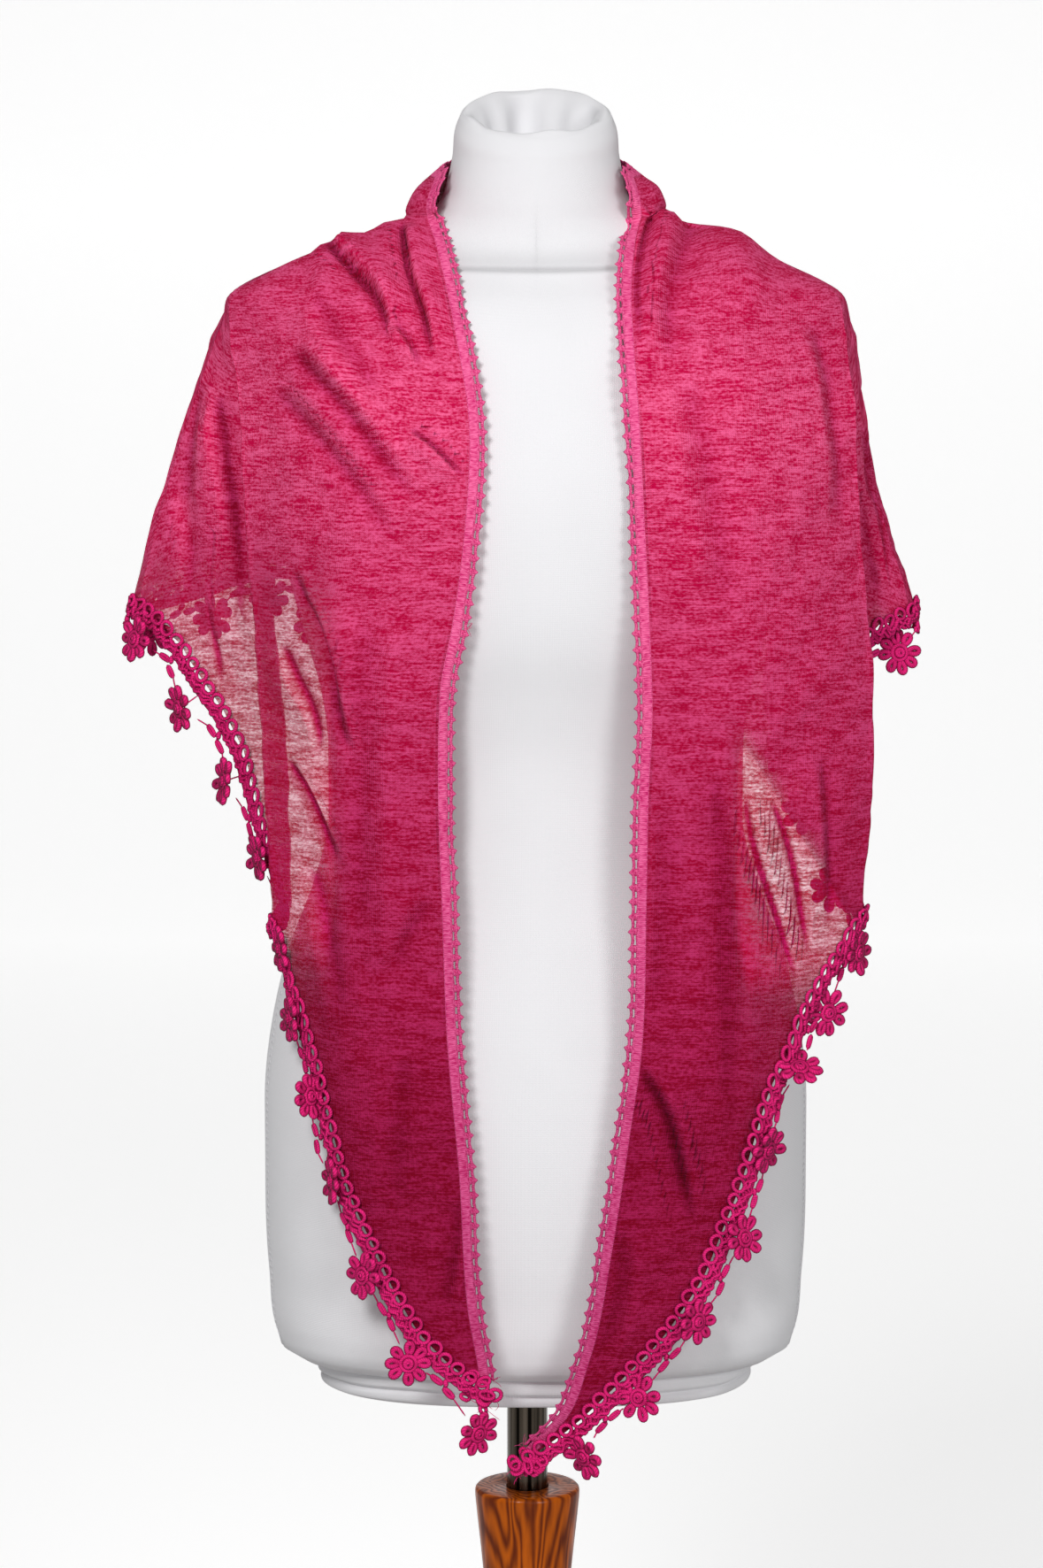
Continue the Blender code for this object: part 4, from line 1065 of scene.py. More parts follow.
def lace_material(settings):
    made, nodes, shader = new_material("Corded lace", 0.7, Specular_IOR_Level=0.2)
    wound = nodes.group("Wound thread", Vector=nodes.uv(), Turn=0.0012)["Height"]
    cloud = nodes.noise(nodes.object_place(), 160.0, 2.0)
    # Painted shade between the wound thread's turns: the crowns take the lit colour, the grooves the shaded
    # one.
    tone = nodes.spread(nodes.times_add(wound, 0.45, cloud), 0.35, 0.95)
    yarn = nodes.mix(tone, tuple(settings.deep), tuple(settings.light))
    # Painted shade on the cords' sides, where they turn away from view: a dark copy of the shaded colour.
    rim = nodes.make("LayerWeight", {"Blend": 0.42}).outputs["Facing"]
    edge = shaded(settings.deep, 0.22)
    nodes.give(nodes.mix(nodes.spread(rim, 0.12, 0.85), yarn, edge), shader["Base Color"])
    nodes.give(nodes.bump(wound, 0.00028), shader["Normal"])
    return made


def jersey_material(settings):
    made, nodes, shader = new_material("White jersey", 0.85, Sheen_Weight=0.1, Specular_IOR_Level=0.25)
    cloud = nodes.spread(nodes.noise(nodes.object_place(), 14.0, 3.0), 0.3, 0.7)
    cloth = nodes.mix(cloud, shaded(settings.jersey, 0.965), tuple(settings.jersey))
    # Painted shade in the neck seam's groove and a painted shadow above it, from the mesh's seam values.
    seam = nodes.spread(nodes.stored("seam"), 0.0, 1.0, 0.0, 0.5)
    nodes.give(nodes.mix(seam, cloth, shaded(settings.jersey, 0.30)), shader["Base Color"])
    rows = nodes.group("Knit stitches", Vector=nodes.uv(), Course=0.0009, Wale=0.0011)
    nodes.give(nodes.bump(rows["Height"], 0.00006), shader["Normal"])
    return made


def wood_material(settings):
    made, nodes, shader = new_material("Lacquered wood", 0.42, Specular_IOR_Level=0.12,
                                       Coat_Weight=0.12, Coat_Roughness=0.08)
    drawn = nodes.make("Mapping", {"Vector": nodes.object_place(), "Scale": (1.0, 1.0, 0.09),
                                   "Location": (0.021, 0.013, 0.0)}).outputs[0]
    warp = nodes.make("TexNoise", {"Vector": drawn, "Scale": 26.0, "Detail": 3.0}).outputs["Color"]
    pushed = nodes.mix(0.12, (0, 0, 0), warp)
    bent = nodes.make("VectorMath", {0: drawn, 1: pushed}, operation="ADD").outputs[0]
    rings = nodes.make("TexWave", {"Vector": bent, "Scale": 46.0, "Distortion": 2.2, "Detail": 2.0},
                       wave_type="RINGS", rings_direction="Z").outputs["Fac"]
    grain = nodes.times_add(nodes.noise(drawn, 420.0, 2.0), 0.5, nodes.times(rings, 0.65))
    tone = nodes.spread(grain, 0.2, 0.95)
    nodes.give(nodes.mix(tone, tuple(settings.wood_deep), tuple(settings.wood_light)), shader["Base Color"])
    nodes.give(nodes.spread(grain, 0.2, 0.9, 0.42, 0.28), shader["Roughness"])
    nodes.give(nodes.bump(grain, 0.00012), shader["Normal"])
    return made


def metal_material(settings):
    made, nodes, shader = new_material("Dark chrome", 0.2, Metallic=1.0)
    # Painted reflections: streaks round the tube run its colour from dark to bright, as reflections of the
    # room would.
    parts = nodes.axes(nodes.object_place())
    turn = nodes.math("ARCTAN2", parts[1], parts[0])
    streak = nodes.noise(nodes.vector(turn, 0.0, nodes.times(parts[2], 0.6)), 3.2, 2.0)
    tone = nodes.spread(streak, 0.38, 0.64)
    nodes.give(nodes.mix(tone, shaded(settings.metal, 0.12), shaded(settings.metal, 3.2)),
               shader["Base Color"])
    nodes.give(nodes.spread(streak, 0.3, 0.7, 0.16, 0.34), shader["Roughness"])
    return made


def backdrop_material(settings):
    """Paper that is lit from behind the object on, and in front is a plain pale floor."""
    made, nodes, shader = new_material("Paper sweep", 0.9, Emission_Strength=settings.glow)
    behind = nodes.spread(nodes.axes(nodes.object_place())[1], 0.35, 1.25)
    nodes.give(nodes.mix(behind, (0, 0, 0), (1, 1, 1)), shader["Emission Color"])
    nodes.give(nodes.mix(behind, shaded(settings.floor, 0.6), tuple(settings.floor)), shader["Base Color"])
    return made


# Pieces


def ring_points(angle, half, front, back, power, height):
    """Points of a level section of the form at each angle: a superellipse of unequal depths."""
    across, depth = superellipse(angle, half, front, back, power)
    return stacked(FORM_CENTRE_X + across, depth, height)


class FOULARD_OT_form(bpy.types.Operator):
    """Makes the dress form: its jersey torso and neck, the low foot and the stitched seams"""

    bl_idname = "foulard.form"
    bl_label = "Dress form"

    def execute(self, context):
        settings = context.scene.foulard.form
        jersey = jersey_material(settings)
        self.torso(settings, jersey)
        self.foot(jersey)
        self.stitches(jersey)
        return {"FINISHED"}

    def torso(self, settings, finish):
        """Sections of the form over angle and height, with the neck leaning forward as it rises.

        The neck seam is a groove that dips at the front, and the side seams are grooves of about
        half its depth. The neck groove's painted shade and the painted shadow over it are kept on the mesh
        for the material.
        """
        angle = round_turn(240)[:, None]
        bottom, edge = FORM_RINGS["height"][[0, -1]]
        low = bottom + (SHOULDER - bottom) * np.linspace(0, 1, 140) ** 0.9
        height = np.concatenate((
            low, np.linspace(SHOULDER + 0.002, NECK_FOOT, 60), np.linspace(NECK_FOOT + 0.003, edge, 24)))
        points = ring_points(angle, *form_sizes(height[None]), height[None])
        dip = NECK_SEAM_DIP * np.clip(np.sin(angle), 0, 1) ** 2
        points[..., 2] -= dip * bell(height - NECK_SEAM, 0.020)
        groove = bell(height - NECK_SEAM, 0.0016)
        lip = bell(height - NECK_SEAM - 0.0065, 0.0050)
        gaps = [np.abs(np.angle(np.exp(1j * (angle - math.radians(seam))))) for seam in SIDE_SEAMS]
        side = bell(np.minimum(*gaps) * 0.16, 0.0013) * smooth_step((ARMPIT - height) / 0.01)
        pushed = settings.seam * (0.75 * lip - groove - 0.45 * side)
        outward = points - np.array((FORM_CENTRE_X, 0, 0))
        outward[..., 2] = 0
        points = points + unit(outward) * pushed[..., None]
        points[..., 2] += np.interp(height, NECK_LEAN["height"], NECK_LEAN["tilt"]) * points[..., 1]
        points = np.concatenate((points, self.tuck(angle)), axis=1)
        uv = stacked(lengths_of(points, axis=1), angle * 0.15)
        made = mesh_piece("form_jersey", closed_grid(points, uv), finish)
        # Painted shade: a line in the neck seam's groove and a soft painted shadow just above it.
        shade = np.zeros(points.shape[:2])
        above = bell(height - NECK_SEAM - 0.0040, 0.0050) * (height > NECK_SEAM)
        shade[:, :len(height)] = np.maximum(groove, 0.45 * above)
        store(made, "seam", shade)
        face_outwards(made)
        place(made, "white_jersey", "form_body")

    def tuck(self, angle):
        """Above the neck's edge the jersey turns in and falls in folds, sums of three sines."""
        share = np.linspace(0, 1, 40)[None]
        half, front, back, level, lean = read_evenly(NECK_TUCK, "half front back height tilt", share)
        fold = np.sin(5 * angle + 0.8) + 0.6 * np.sin(9 * angle + 2.0) + 0.5 * np.sin(3 * angle + 4.1)
        squeeze = 1 - 0.09 * fold * smooth_step((share - 0.25) / 0.4)
        inner = ring_points(angle, half * squeeze, front * squeeze, back * squeeze, 2.0, level)
        inner[..., 2] += lean * inner[..., 1] + 0.0008 * fold * smooth_step(share / 0.2)
        return inner[:, 1:]

    def foot(self, finish):
        """The jersey gathered under the torso: a low band with two soft rolls, uneven all round."""
        angle = round_turn(200)[:, None]
        share = np.linspace(0, 1, 30)[None]
        level, half, front, back = read_evenly(RIM_ROWS, "height half front back", share)
        sag = 0.0009 * np.sin(3 * angle + 1.0) + 0.0005 * np.sin(7 * angle)
        inside = np.sin(math.pi * share)
        points = ring_points(angle, half, front, back, 2.5, level + sag * inside)
        points[..., :2] *= (1 + 0.006 * np.sin(11 * angle + 2 * share) * inside)[..., None]
        made = mesh_piece("form_foot", closed_grid(points, stacked(level, angle * 0.12)), finish)
        face_outwards(made)
        place(made, "white_jersey", "form_base_rim")

    def stitches(self, finish):
        """Short sewn stitches beside both side seams, from the foot up to the armpit."""
        height = np.arange(0.562, 1.150, STITCH_STEP)[:, None] + np.array((0.0, 0.0013, 0.0026))
        sizes = form_sizes(height, 0.00012)
        paths = [ring_points(math.radians(seam) + lean, *sizes, height)
                 for seam in SIDE_SEAMS for lean in (0.016, -0.016)]
        parts = tube_part(np.concatenate(paths), 0.00028, (0.0, 1.0, 0.0), sides=5)
        place(mesh_piece("form_side_stitches", parts, finish), "white_jersey")


class FOULARD_OT_stand(bpy.types.Operator):
    """Makes the turned hub and finishes the pole and the three legs"""

    bl_idname = "foulard.stand"
    bl_label = "Stand"

    def execute(self, context):
        settings = context.scene.foulard.stand
        wood, metal = wood_material(settings), metal_material(settings)
        self.hub(wood)
        for name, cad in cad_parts.items():
            if name.startswith(("stand_leg", "stand_pole")):
                cad.data.materials.clear()
                cad.data.materials.append(metal if name == "stand_pole" else wood)
        return {"FINISHED"}

    def hub(self, finish):
        """A profile of radius over height, turned about the pole's axis, with a blind bore."""
        radius, height = np.array((
            (0.0005, BORE_FLOOR), (0.0129, BORE_FLOOR), (0.0129, HUB_TOP - 0.0006), (0.0135, HUB_TOP),
            (0.0300, HUB_TOP), (0.0313, HUB_TOP - 0.0004), (0.0322, HUB_TOP - 0.0014),
            (0.0325, HUB_TOP - 0.0030), (0.0324, HUB_TOP - 0.0060), (0.0312, HUB_TOP - 0.0180),
            (0.0290, HUB_TOP - 0.0380), (0.0272, HUB_TOP - 0.0560), (0.0263, HUB_TOP - 0.0680),
            (0.0266, HUB_TOP - 0.0740), (0.0280, HUB_TOP - 0.0790), (0.0286, HUB_TOP - 0.0850),
            (0.0286, HUB_BOTTOM + 0.0220), (0.0278, HUB_BOTTOM + 0.0120), (0.0240, HUB_BOTTOM + 0.0050),
            (0.0150, HUB_BOTTOM + 0.0004), (0.0005, HUB_BOTTOM),
        )).T
        angle = round_turn(128)[:, None]
        points = stacked(radius * np.cos(angle), radius * np.sin(angle), height)
        made = mesh_piece("stand_turned_hub", closed_grid(points, stacked(height, radius * angle)), finish)
        face_outwards(made)
        made.data.set_sharp_from_angle(angle=math.radians(50))
        place(made, "honey_wood", "stand_hub")


# The two halves of the scarf as grids [station, row], kept for the tape and the lace on their edges.
SHAPED = {}


class FOULARD_OT_knit(bpy.types.Operator):
    """Makes the knitted triangle of the scarf, with its folds and creases"""

    bl_idname = "foulard.knit"
    bl_label = "Knit panel"

    def execute(self, context):
        settings = context.scene.foulard.knit
        left, left_cloth, left_marks = folded_half(LEFT, LEFT_HEM, -1)
        right, right_cloth, right_marks = folded_half(RIGHT, RIGHT_HEM, 1)
        left[-1] = right[-1] = 0.5 * (left[-1] + right[-1])
        points = np.concatenate((left, right[-2::-1]))
        cloth = np.concatenate((left_cloth, right_cloth[-2::-1]))
        made = mesh_piece("scarf_knit", [grid_part(points, cloth)], knit_material(settings))
        # open places the holes and the painted backlight, and aside and crease place the creases' painted
        # shade and highlight.
        for name, on_left, on_right in zip(("open", "aside", "crease"), left_marks, right_marks):
            store(made, name, np.concatenate((on_left, on_right[-2::-1])))
        wall = made.modifiers.new("wall", "SOLIDIFY")
        wall.thickness = settings.wall
        wall.offset = 0
        place(made, "magenta_knit", "knit_panel")
        SHAPED["left"], SHAPED["right"] = left, right
        return {"FINISHED"}


def sample(at, along, values):
    """Reads rows of values at distances along an edge, and keeps the end rows past its ends."""
    return np.stack([np.interp(at, along, column) for column in values.T], axis=-1)


def smoothed(values, along, reach):
    """Averages directions along an edge with a bell weight of the given reach."""
    weight = np.exp(-0.5 * ((along[:, None] - along[None, :]) / reach) ** 2)
    return unit((weight * np.gradient(along)) @ values)


class EdgeFrame:
    """Directions along a cloth edge: where it runs, out of the cloth, and off its outer face."""

    def __init__(self, path, inner, sign, reach, droop=None):
        self.along = lengths_of(path)
        self.hang = (np.array((0.0, 1.0)), np.ones(2))
        tangent = unit(np.gradient(path, axis=0))
        outward = across_of(path - inner, tangent)
        face = np.cross(tangent, outward) * sign
        outward = smoothed(outward, self.along, reach)
        if droop is not None:
            outward = unit(outward + droop[:, None] * np.array((0, 0, -1.0)))
        face = smoothed(across_of(face, outward), self.along, 0.4 * reach)
        self.path, self.outward, self.face, self.tangent = path, outward, face, tangent

    def at(self, along):
        """Point, outward and face directions at distances along the edge, run straight on past it."""
        ends = np.clip(along, 0, self.along[-1])
        tangent, outward, face = (
            unit(sample(ends, self.along, way)) for way in (self.tangent, self.outward, self.face))
        here = sample(ends, self.along, self.path) + tangent * (along - ends)[..., None]
        return here, outward, face

    def lay(self, flat):
        """Carries flat points (..., 3) of distance along, out and off the face onto the edge.

        Past the hinge the work reaches out only by the share at that distance along.
        """
        ways = self.at(flat[..., 0].ravel())
        here, outward, face = (way.reshape(*flat.shape[:-1], 3) for way in ways)
        past = np.maximum(flat[..., 1] - LACE_HINGE, 0)
        out = flat[..., 1] + past * (np.interp(flat[..., 0], *self.hang) - 1)
        return here + outward * out[..., None] + face * flat[..., 2:3], face

    def cords(self, paths, radius, **shape):
        """Cords along flat paths (K, M, 3)."""
        laid, face = self.lay(paths)
        return tube_part(laid, radius, face, **shape)

    def ribbon(self, flat, girth):
        """A band with flat points [step, turn], with uv as metres along and round it."""
        laid, _ = self.lay(flat)
        uv = stacked(flat[..., 0], girth)
        return grid_part(laid.transpose(1, 0, 2), uv.transpose(1, 0, 2), wrap=True)


class FOULARD_OT_tape(bpy.types.Operator):
    """Makes the picot tape along the whole long edge: a band, its eyelets' bars and the picots"""

    bl_idname = "foulard.tape"
    bl_label = "Picot tape"

    def execute(self, context):
        settings = context.scene.foulard.tape
        left, right = SHAPED["left"], SHAPED["right"]
        path, inner = (
            np.concatenate((left[k, ::-1], left[1:, k], right[-2:0:-1, k], right[k])) for k in (0, 2))
        edge = EdgeFrame(path, inner, 1, reach=0.005)
        whole = edge.along[-1]
        parts = [self.band(settings, edge, whole)]
        count = int(whole / settings.pitch)
        pitch = whole / count
        steps = np.linspace(0.002, whole - 0.002, count * 7)
        ripple = 0.0003 * np.cos(steps / pitch * 2 * math.pi)
        border = stacked(steps, settings.reach - 0.0014 + ripple, 0.0003)
        parts += edge.cords(border[None], 0.00095, flat=0.7)
        draw = np.random.default_rng(SEED + 3)
        middles = (np.arange(1, count) * pitch + draw.normal(0, 0.0004, count - 1))[:, None]
        for start, stop, thick in (
                (settings.band - 0.0014, settings.reach - 0.0010, (0.0030, 0.0024, 0.0022, 0.0026)),
                (settings.reach - 0.0016, settings.reach + 0.0014, (0.0028, 0.0020, 0.0011, 0.0006))):
            lean = draw.normal(0, 0.0004, middles.shape) * np.linspace(0, 1, 4)
            bars = stacked(middles + lean, np.linspace(start, stop, 4), 0.0003)
            parts += edge.cords(bars, thick, sides=8, flat=0.34)
        parts += self.loose_threads(edge, whole)
        place(mesh_piece("scarf_picot_tape", parts, tape_material(settings)), "pink_tape", "picot_tape")
        return {"FINISHED"}

    def band(self, settings, edge, whole):
        """A flat cord with rounded edges, thicker and thinner by turns like knitted tape."""
        steps = np.linspace(0.001, whole - 0.001, 900)[:, None]
        turn = round_turn(14)
        half = 0.5 * settings.band * (1 + 0.03 * np.sin(steps * 900))
        out = half + half * np.sign(np.cos(turn)) * np.abs(np.cos(turn)) ** 0.4 - 0.0006
        rise = 0.0008 * np.sign(np.sin(turn)) * np.abs(np.sin(turn)) ** 0.8 + 0.0004
        return edge.ribbon(stacked(steps, out, rise), turn / (2 * math.pi) * 2.3 * settings.band)

    def loose_threads(self, edge, whole):
        """A few cut ends of thread at the tape's joint and at both of its ends."""
        draw = np.random.default_rng(SEED + 11)
        half = len(edge.path) // 2
        joint = np.interp(JOINT_HEIGHT, edge.path[:half, 2], edge.along[:half])
        starts = np.concatenate((draw.normal(joint, 0.001, 5), draw.uniform(0, 0.004, 4),
                                 whole - draw.uniform(0, 0.004, 4)))[:, None]
        t = np.linspace(0, 1, 8)
        lean = draw.uniform(-1, 1, starts.shape)
        size = draw.uniform(0.003, 0.007, starts.shape)
        flat = stacked(starts + lean * size * t, 0.008 + size * t * (1 - 0.3 * t),
                       0.0006 + 0.001 * np.sin(3 * t + lean))
        return edge.cords(flat, CUT_THREAD, sides=5)


def turned(long_way, wide_way, slant):
    """Two coordinates turned by a slant within the lace."""
    return (long_way * np.cos(slant) - wide_way * np.sin(slant),
            long_way * np.sin(slant) + wide_way * np.cos(slant))


class FOULARD_OT_lace(bpy.types.Operator):
    """Makes the flower lace on both sides of the hem"""

    bl_idname = "foulard.lace"
    bl_label = "Flower lace"

    def execute(self, context):
        settings = context.scene.foulard.lace
        finish = lace_material(settings)
        made = [
            self.side(settings, finish, "left", LEFT_FLOWERS, -1),
            self.side(settings, finish, "right", RIGHT_FLOWERS, 1),
        ]
        return {"FINISHED"}

    def side(self, settings, finish, name, flowers, sign):
        """One length of lace, from the front tip to the centre of the back, drooping at the pleat."""
        grid = SHAPED[name]
        path, inner = grid[:, -1], grid[:, -3]
        along = lengths_of(path)
        pleat = np.interp((PLEAT_START, PLEAT_END), fine_stations(), along)
        near = np.exp(-0.5 * ((along - pleat.mean()) / (0.5 * np.ptp(pleat) + LACE_SMOOTHING)) ** 2)
        edge = EdgeFrame(path, inner, -sign, reach=LACE_SMOOTHING, droop=PLEAT_DROOP * near)
        self.draw = np.random.default_rng(SEED + (sign > 0))
        end = along[-1] - APEX_GAP
        places, hinge, stand = self.stand(edge, flowers, end)
        reach = np.linalg.norm(stand[:, 0] - hinge, axis=1) / (2.0 * FLOWER_DROP)
        edge.hang = (places, np.clip(reach, 0.35, 1))
        parts = self.header(settings, edge, end)
        parts += self.band(settings, edge, end)
        parts += self.flower_row(settings, stand)
        parts += self.links(settings, edge, places, hinge, stand)
        parts += self.tip(settings, edge)
        made = mesh_piece("scarf_lace_" + name, parts, finish)
        place(made, "flower_lace", "flower_lace_" + name)
        return made

    def stand(self, edge, flowers, end):
        """Finds each flower's hinge on the hem, and its middle, right, down and facing directions."""
        dense = np.linspace(-0.008, end, 900)
        here, outward, _ = edge.at(dense)
        hinge = here + outward * LACE_HINGE
        gap = np.hypot(hinge[:, 0] - flowers["x"][:, None], hinge[:, 2] - flowers["z"][:, None])
        shown = dense[(gap + 9.0 * (dense > SHOWN_HEM)).argmin(axis=1)]
        places = np.concatenate((shown, np.arange(shown[-1] + FLOWER_STEP, end - 0.012, FLOWER_STEP)))
        here, outward, face = edge.at(places)
        hinge = here + outward * LACE_HINGE
        known, spare = len(shown), len(places) - len(shown)
        middle = hinge + unit(outward + np.array((0, 0, -0.35))) * FLOWER_DROP
        middle[:known] = stacked(flowers["x"], hinge[:known, 1] - 0.005, flowers["z"])
        facing = np.arctan2(face[:, 0], -face[:, 1]) + np.radians(self.draw.uniform(-30, 30, len(places)))
        facing[:known] = np.radians(flowers["facing"])
        tilt = np.radians(np.append(flowers["tilt"], self.draw.uniform(-12, 12, spare)))
        off = stacked(np.sin(facing) * np.cos(tilt), -np.cos(facing) * np.cos(tilt), np.sin(tilt))
        down = across_of(middle - hinge, off)
        return places, hinge, np.stack((middle, np.cross(down, off), down, off), axis=1)

    def header(self, settings, edge, end):
        """A row of round arches on the cloth's edge: rings side by side, each a little uneven."""
        middles = np.arange(-TIP_OVERRUN, end, settings.arch)[:, None]
        turn = round_turn(14)
        radius = ARCH_RADIUS * (1 + self.draw.normal(0, 0.06, middles.shape))
        lift = 0.0012 + settings.cord + self.draw.normal(0, 0.0003, middles.shape)
        out = -0.0012 + self.draw.normal(0, 0.0004, middles.shape)
        flat = stacked(middles + radius * np.cos(turn), out - radius * np.sin(turn),
                       lift + 0.0004 * np.sin(2 * turn))
        return edge.cords(flat, settings.cord, closed=True)

    def band(self, settings, edge, end):
        """Three cords braided over a flat band: sines a third of a turn apart, over and under."""
        steps = np.linspace(-TIP_OVERRUN, end, int((end + TIP_OVERRUN) / 0.0011))
        strip = round_turn(8)
        out = BAND_MIDDLE + BAND_HALF * np.cos(strip) + 0.0003 * np.sin(700 * steps[:, None])
        flat = stacked(steps[:, None], out, 0.0007 + 0.0007 * np.sin(strip))
        parts = [edge.ribbon(flat, 0.0012 * strip)]
        for strand, (middle, swing, lap) in enumerate(BRAID):
            phase = steps / lap * 2 * math.pi + strand * 2.1
            cord = stacked(steps, middle + swing * np.sin(phase), 0.0019 + 0.0007 * np.cos(phase + strand))
            swell = 1 + 0.22 * np.sin(2 * phase)
            parts += edge.cords(cord[None], settings.cord * 0.88 * swell)
        return parts

    def flower_row(self, settings, stand):
        """Flowers as flat cord work, cupped a little.

        Each petal is a padded loop, narrow at its root, and the middle is a coil of three rings.
        """
        count, petals = len(stand), settings.petals
        t = round_turn(16)
        size = (1 + self.draw.normal(0, 0.03, (count, 1, 1))) * np.ones((1, petals, 1))
        angle = np.arange(petals) * 2 * math.pi / petals + self.draw.normal(0, 0.05, (count, petals))
        angle = (angle - 0.5 * math.pi)[..., None]
        reach = size * (settings.petal - 0.0048 - 0.0033 * np.cos(t))
        width = (0.0014 + 0.0008 * (0.5 - 0.5 * np.cos(t))) * np.sin(t)
        bend = self.draw.normal(0, 0.0011, (count, petals, 1)) + 0.0011
        loops = stacked(*turned(reach, width, angle), bend * (reach / settings.petal) ** 2)
        parts = self.hang(stand, loops, PETAL_CORD)
        for radius, lift, cord in COIL_RINGS:
            ring = stacked(radius * np.cos(t), radius * np.sin(t), lift)
            parts += self.hang(stand, np.broadcast_to(ring, (count, 1, 16, 3)), cord)
        return parts

    def hang(self, stand, local, cord):
        """Carries flat loops (flower, loop, point, 3) to where each flower stands, as closed cords."""
        middle, right, down, off = (stand[:, None, None, k] for k in range(4))
        points = middle + local[..., :1] * right + local[..., 1:2] * down + local[..., 2:] * off
        shape = (-1, local.shape[2], 3)
        up = np.broadcast_to(off, points.shape).reshape(shape)
        return tube_part(points.reshape(shape), cord, up, closed=True)

    def links(self, settings, edge, places, hinge, stand):
        """Between two flowers a leaf hangs from the band with two oval rings, tied on by threads."""
        middle = 0.5 * (places[1:] + places[:-1])[:, None]
        t = round_turn(12)
        across = np.linspace(0, 1, 7)[None, :, None]
        parts, threads = [], []
        for shift, flower in ((-1, stand[:-1, 0]), (1, stand[1:, 0])):
            slant = self.draw.normal(shift * 0.35, 0.15, middle.shape)
            far, out = turned(RING_LENGTH * np.cos(t), RING_WIDTH * np.sin(t), slant)
            out = RING_OUT + self.draw.normal(0, 0.0015, middle.shape) + out
            lift = 0.0010 + self.draw.normal(0, 0.0014, middle.shape)
            laid, face = edge.lay(stacked(middle + shift * 0.0050 + far, out, lift))
            parts += tube_part(laid, RING_CORD, face, closed=True)
            start = laid[:, 0 if shift > 0 else 6][:, None]
            ends = flower[:, None] + unit(start - flower[:, None]) * (settings.petal - 0.002)
            threads.append(start + (ends - start) * across)
        leaf = np.linspace(0, 1, 9)
        flat = stacked(middle + 0.0008 * np.sin(6 * leaf), LEAF_OUT + LEAF_LENGTH * leaf, 0.0012)
        parts += edge.cords(flat, 0.0008 + 0.0010 * np.sin(math.pi * leaf))
        threads.append(hinge[:, None] + (stand[:, :1] - hinge[:, None]) * across)
        parts += tube_part(np.concatenate(threads), THREAD, (0.3, -1.0, 0.2), sides=5)
        return parts

    def tip(self, settings, edge):
        """The lace's cut end, bunched up round the cloth's tip: small loops and cut threads."""
        draw, loops, threads = self.draw, (9, 1), (8, 1)
        t = round_turn(14)
        along, out, lift = (draw.uniform(low, high, loops) for low, high in (
            (-0.012, 0.008), (-0.004, 0.012), (0.0005, 0.0045)))
        slant = draw.uniform(0, math.pi, loops)
        long_way = draw.uniform(0.0028, 0.0044, loops) * np.cos(t)
        wide_way = draw.uniform(0.0018, 0.0030, loops) * np.sin(t)
        far, deep = turned(long_way, wide_way, slant)
        flat = stacked(along + far, out + deep, lift + 0.0016 * np.sin(t + slant))
        parts = edge.cords(flat, settings.cord * 0.95, closed=True)
        along, out, heading, size = (draw.uniform(low, high, threads) for low, high in (
            (-0.014, 0.002), (0.0, 0.012), (2.2, 4.0), (0.004, 0.010)))
        t = np.linspace(0, 1, 9)
        curl = heading + draw.uniform(-1.2, 1.2, threads) * t
        flat = stacked(along + size * t * np.cos(curl), out + size * t * np.abs(np.sin(curl)),
                       0.002 + 0.002 * t * np.sin(2 * curl))
        return parts + edge.cords(flat, 1.125 * CUT_THREAD, sides=5)


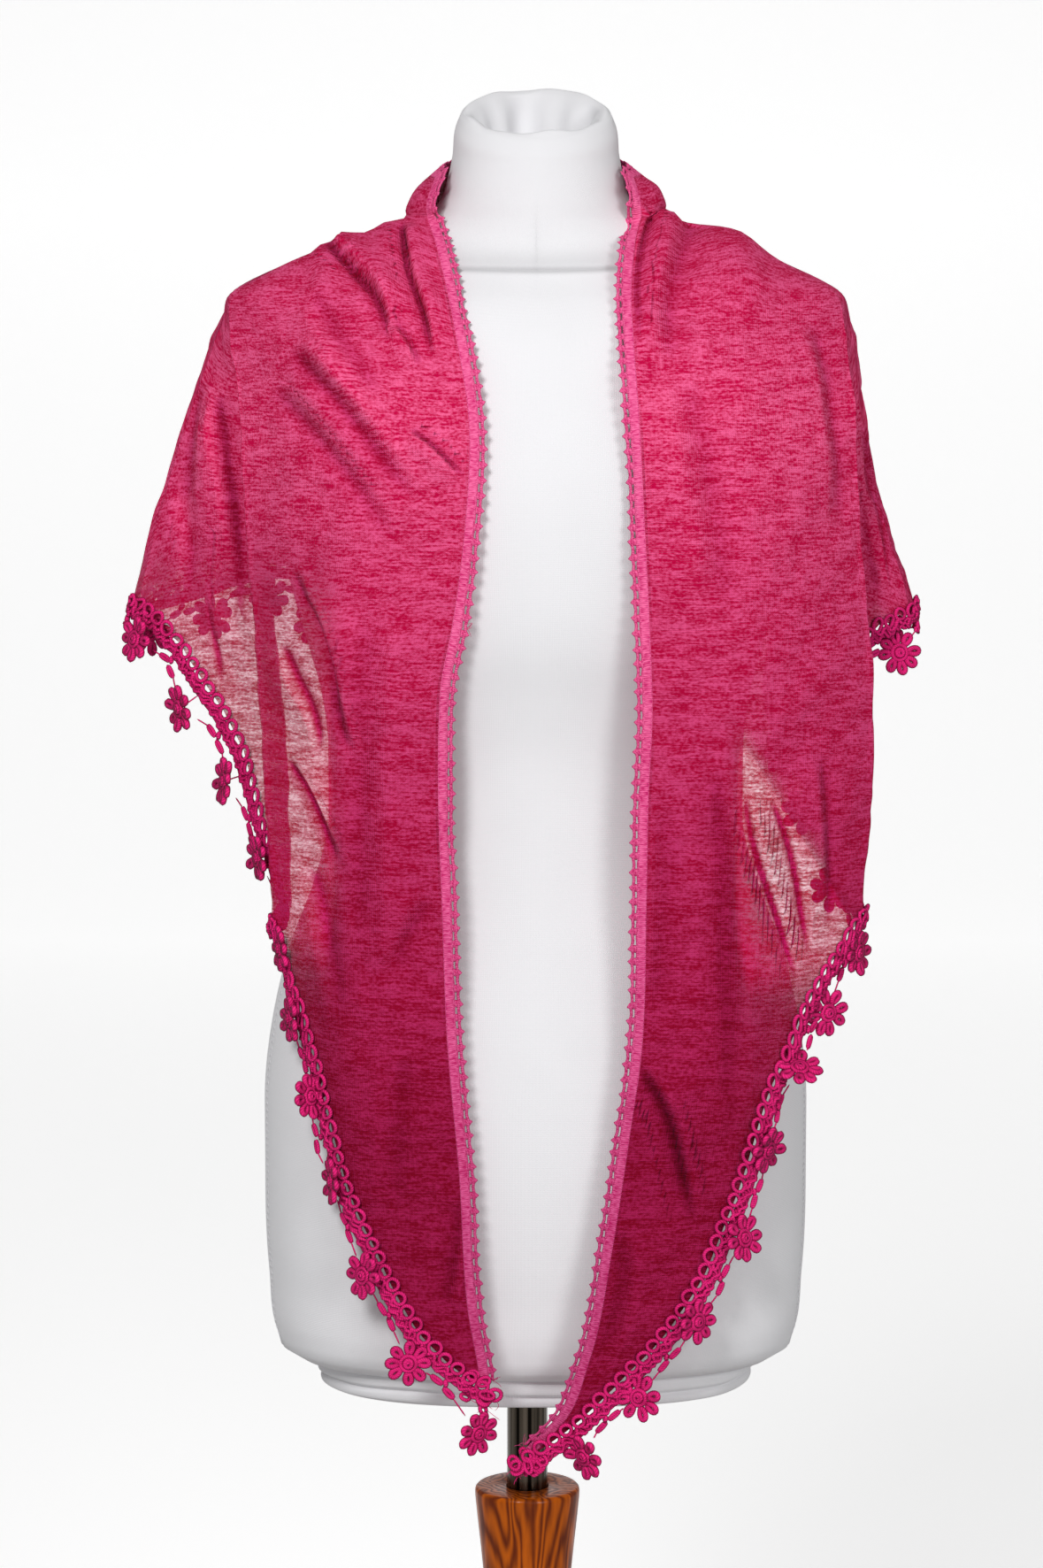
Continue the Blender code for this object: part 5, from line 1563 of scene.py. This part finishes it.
class FOULARD_OT_stage(bpy.types.Operator):
    """Makes the pale floor that sweeps up behind, the soft lights and the camera"""

    bl_idname = "foulard.stage"
    bl_label = "Stage"

    def execute(self, context):
        settings = context.scene.foulard.stage
        context.scene.view_settings.view_transform = "Standard"
        self.sweep(settings)
        self.light("key", KEY_AT, KEY_AIM, KEY_SIZE, settings.key)
        self.light("fill", FILL_AT, FILL_AIM, FILL_SIZE, settings.fill)
        world = bpy.data.worlds.new("Studio")
        world.use_nodes = True
        world.node_tree.nodes["Background"].inputs["Color"].default_value = (1, 1, 1, 1)
        world.node_tree.nodes["Background"].inputs["Strength"].default_value = settings.room
        context.scene.world = world
        camera = bpy.data.cameras.new("photo_camera")
        camera.sensor_fit = "AUTO"
        camera.sensor_width = SENSOR
        camera.lens = FOCAL_PIXELS / PHOTO_HEIGHT * SENSOR
        eye = bpy.data.objects.new("photo_camera", camera)
        eye.location = CAMERA_AT
        eye.rotation_euler = (math.radians(90 - CAMERA_PITCH), 0, 0)
        context.scene.collection.objects.link(eye)
        context.scene.camera = eye
        return {"FINISHED"}

    def sweep(self, settings):
        """A floor that turns up into a wall behind: straight, a quarter circle, straight."""
        turn = np.linspace(0, 0.5 * math.pi, 24)
        depth = SWEEP_WALL + SWEEP_RADIUS * np.sin(turn)
        depth = np.concatenate(((SWEEP_FRONT,), depth, (SWEEP_WALL + SWEEP_RADIUS,)))
        height = np.concatenate(((0.0,), SWEEP_RADIUS * (1 - np.cos(turn)), (SWEEP_TOP,)))
        points = stacked(np.array((-SWEEP_SIDE, SWEEP_SIDE))[:, None], depth, height)
        parts = [grid_part(points, points[..., :2])]
        mesh_piece("paper_sweep", parts, backdrop_material(settings))

    def light(self, name, at, aim, size, power):
        lamp = bpy.data.lights.new(name, "AREA")
        lamp.shape = "DISK"
        lamp.size = size
        lamp.energy = power
        made = bpy.data.objects.new(name, lamp)
        made.location = at
        made.rotation_euler = (Vector(aim) - Vector(at)).to_track_quat("-Z", "Y").to_euler()
        bpy.context.scene.collection.objects.link(made)


class FOULARD_PT_panel(bpy.types.Panel):
    """Lists the foulard's settings and pieces in the 3D view's sidebar"""

    bl_idname = "FOULARD_PT_panel"
    bl_label = "Foulard"
    bl_space_type = "VIEW_3D"
    bl_region_type = "UI"
    bl_category = "Foulard"

    def draw(self, context):
        for name in ("form", "stand", "knit", "tape", "lace", "stage"):
            box = self.layout.box()
            box.operator("foulard." + name)
            values = getattr(context.scene.foulard, name)
            for label in values.__annotations__:
                box.prop(values, label)


CLASSES = (
    KnitSettings, TapeSettings, LaceSettings, FormSettings, StandSettings, StageSettings,
    FoulardSettings, FOULARD_OT_form, FOULARD_OT_stand, FOULARD_OT_knit, FOULARD_OT_tape,
    FOULARD_OT_lace, FOULARD_OT_stage, FOULARD_PT_panel,
)


def register():
    for made in CLASSES:
        bpy.utils.register_class(made)
    bpy.types.Scene.foulard = PointerProperty(type=FoulardSettings)


def unregister():
    del bpy.types.Scene.foulard
    for made in reversed(CLASSES):
        bpy.utils.unregister_class(made)


def main():
    register()
    heather_group()
    stitch_group()
    crease_group()
    twist_group()
    bpy.ops.foulard.form()
    bpy.ops.foulard.stand()
    bpy.ops.foulard.knit()
    bpy.ops.foulard.tape()
    bpy.ops.foulard.lace()
    bpy.ops.foulard.stage()


if __name__ == "__main__":
    main()
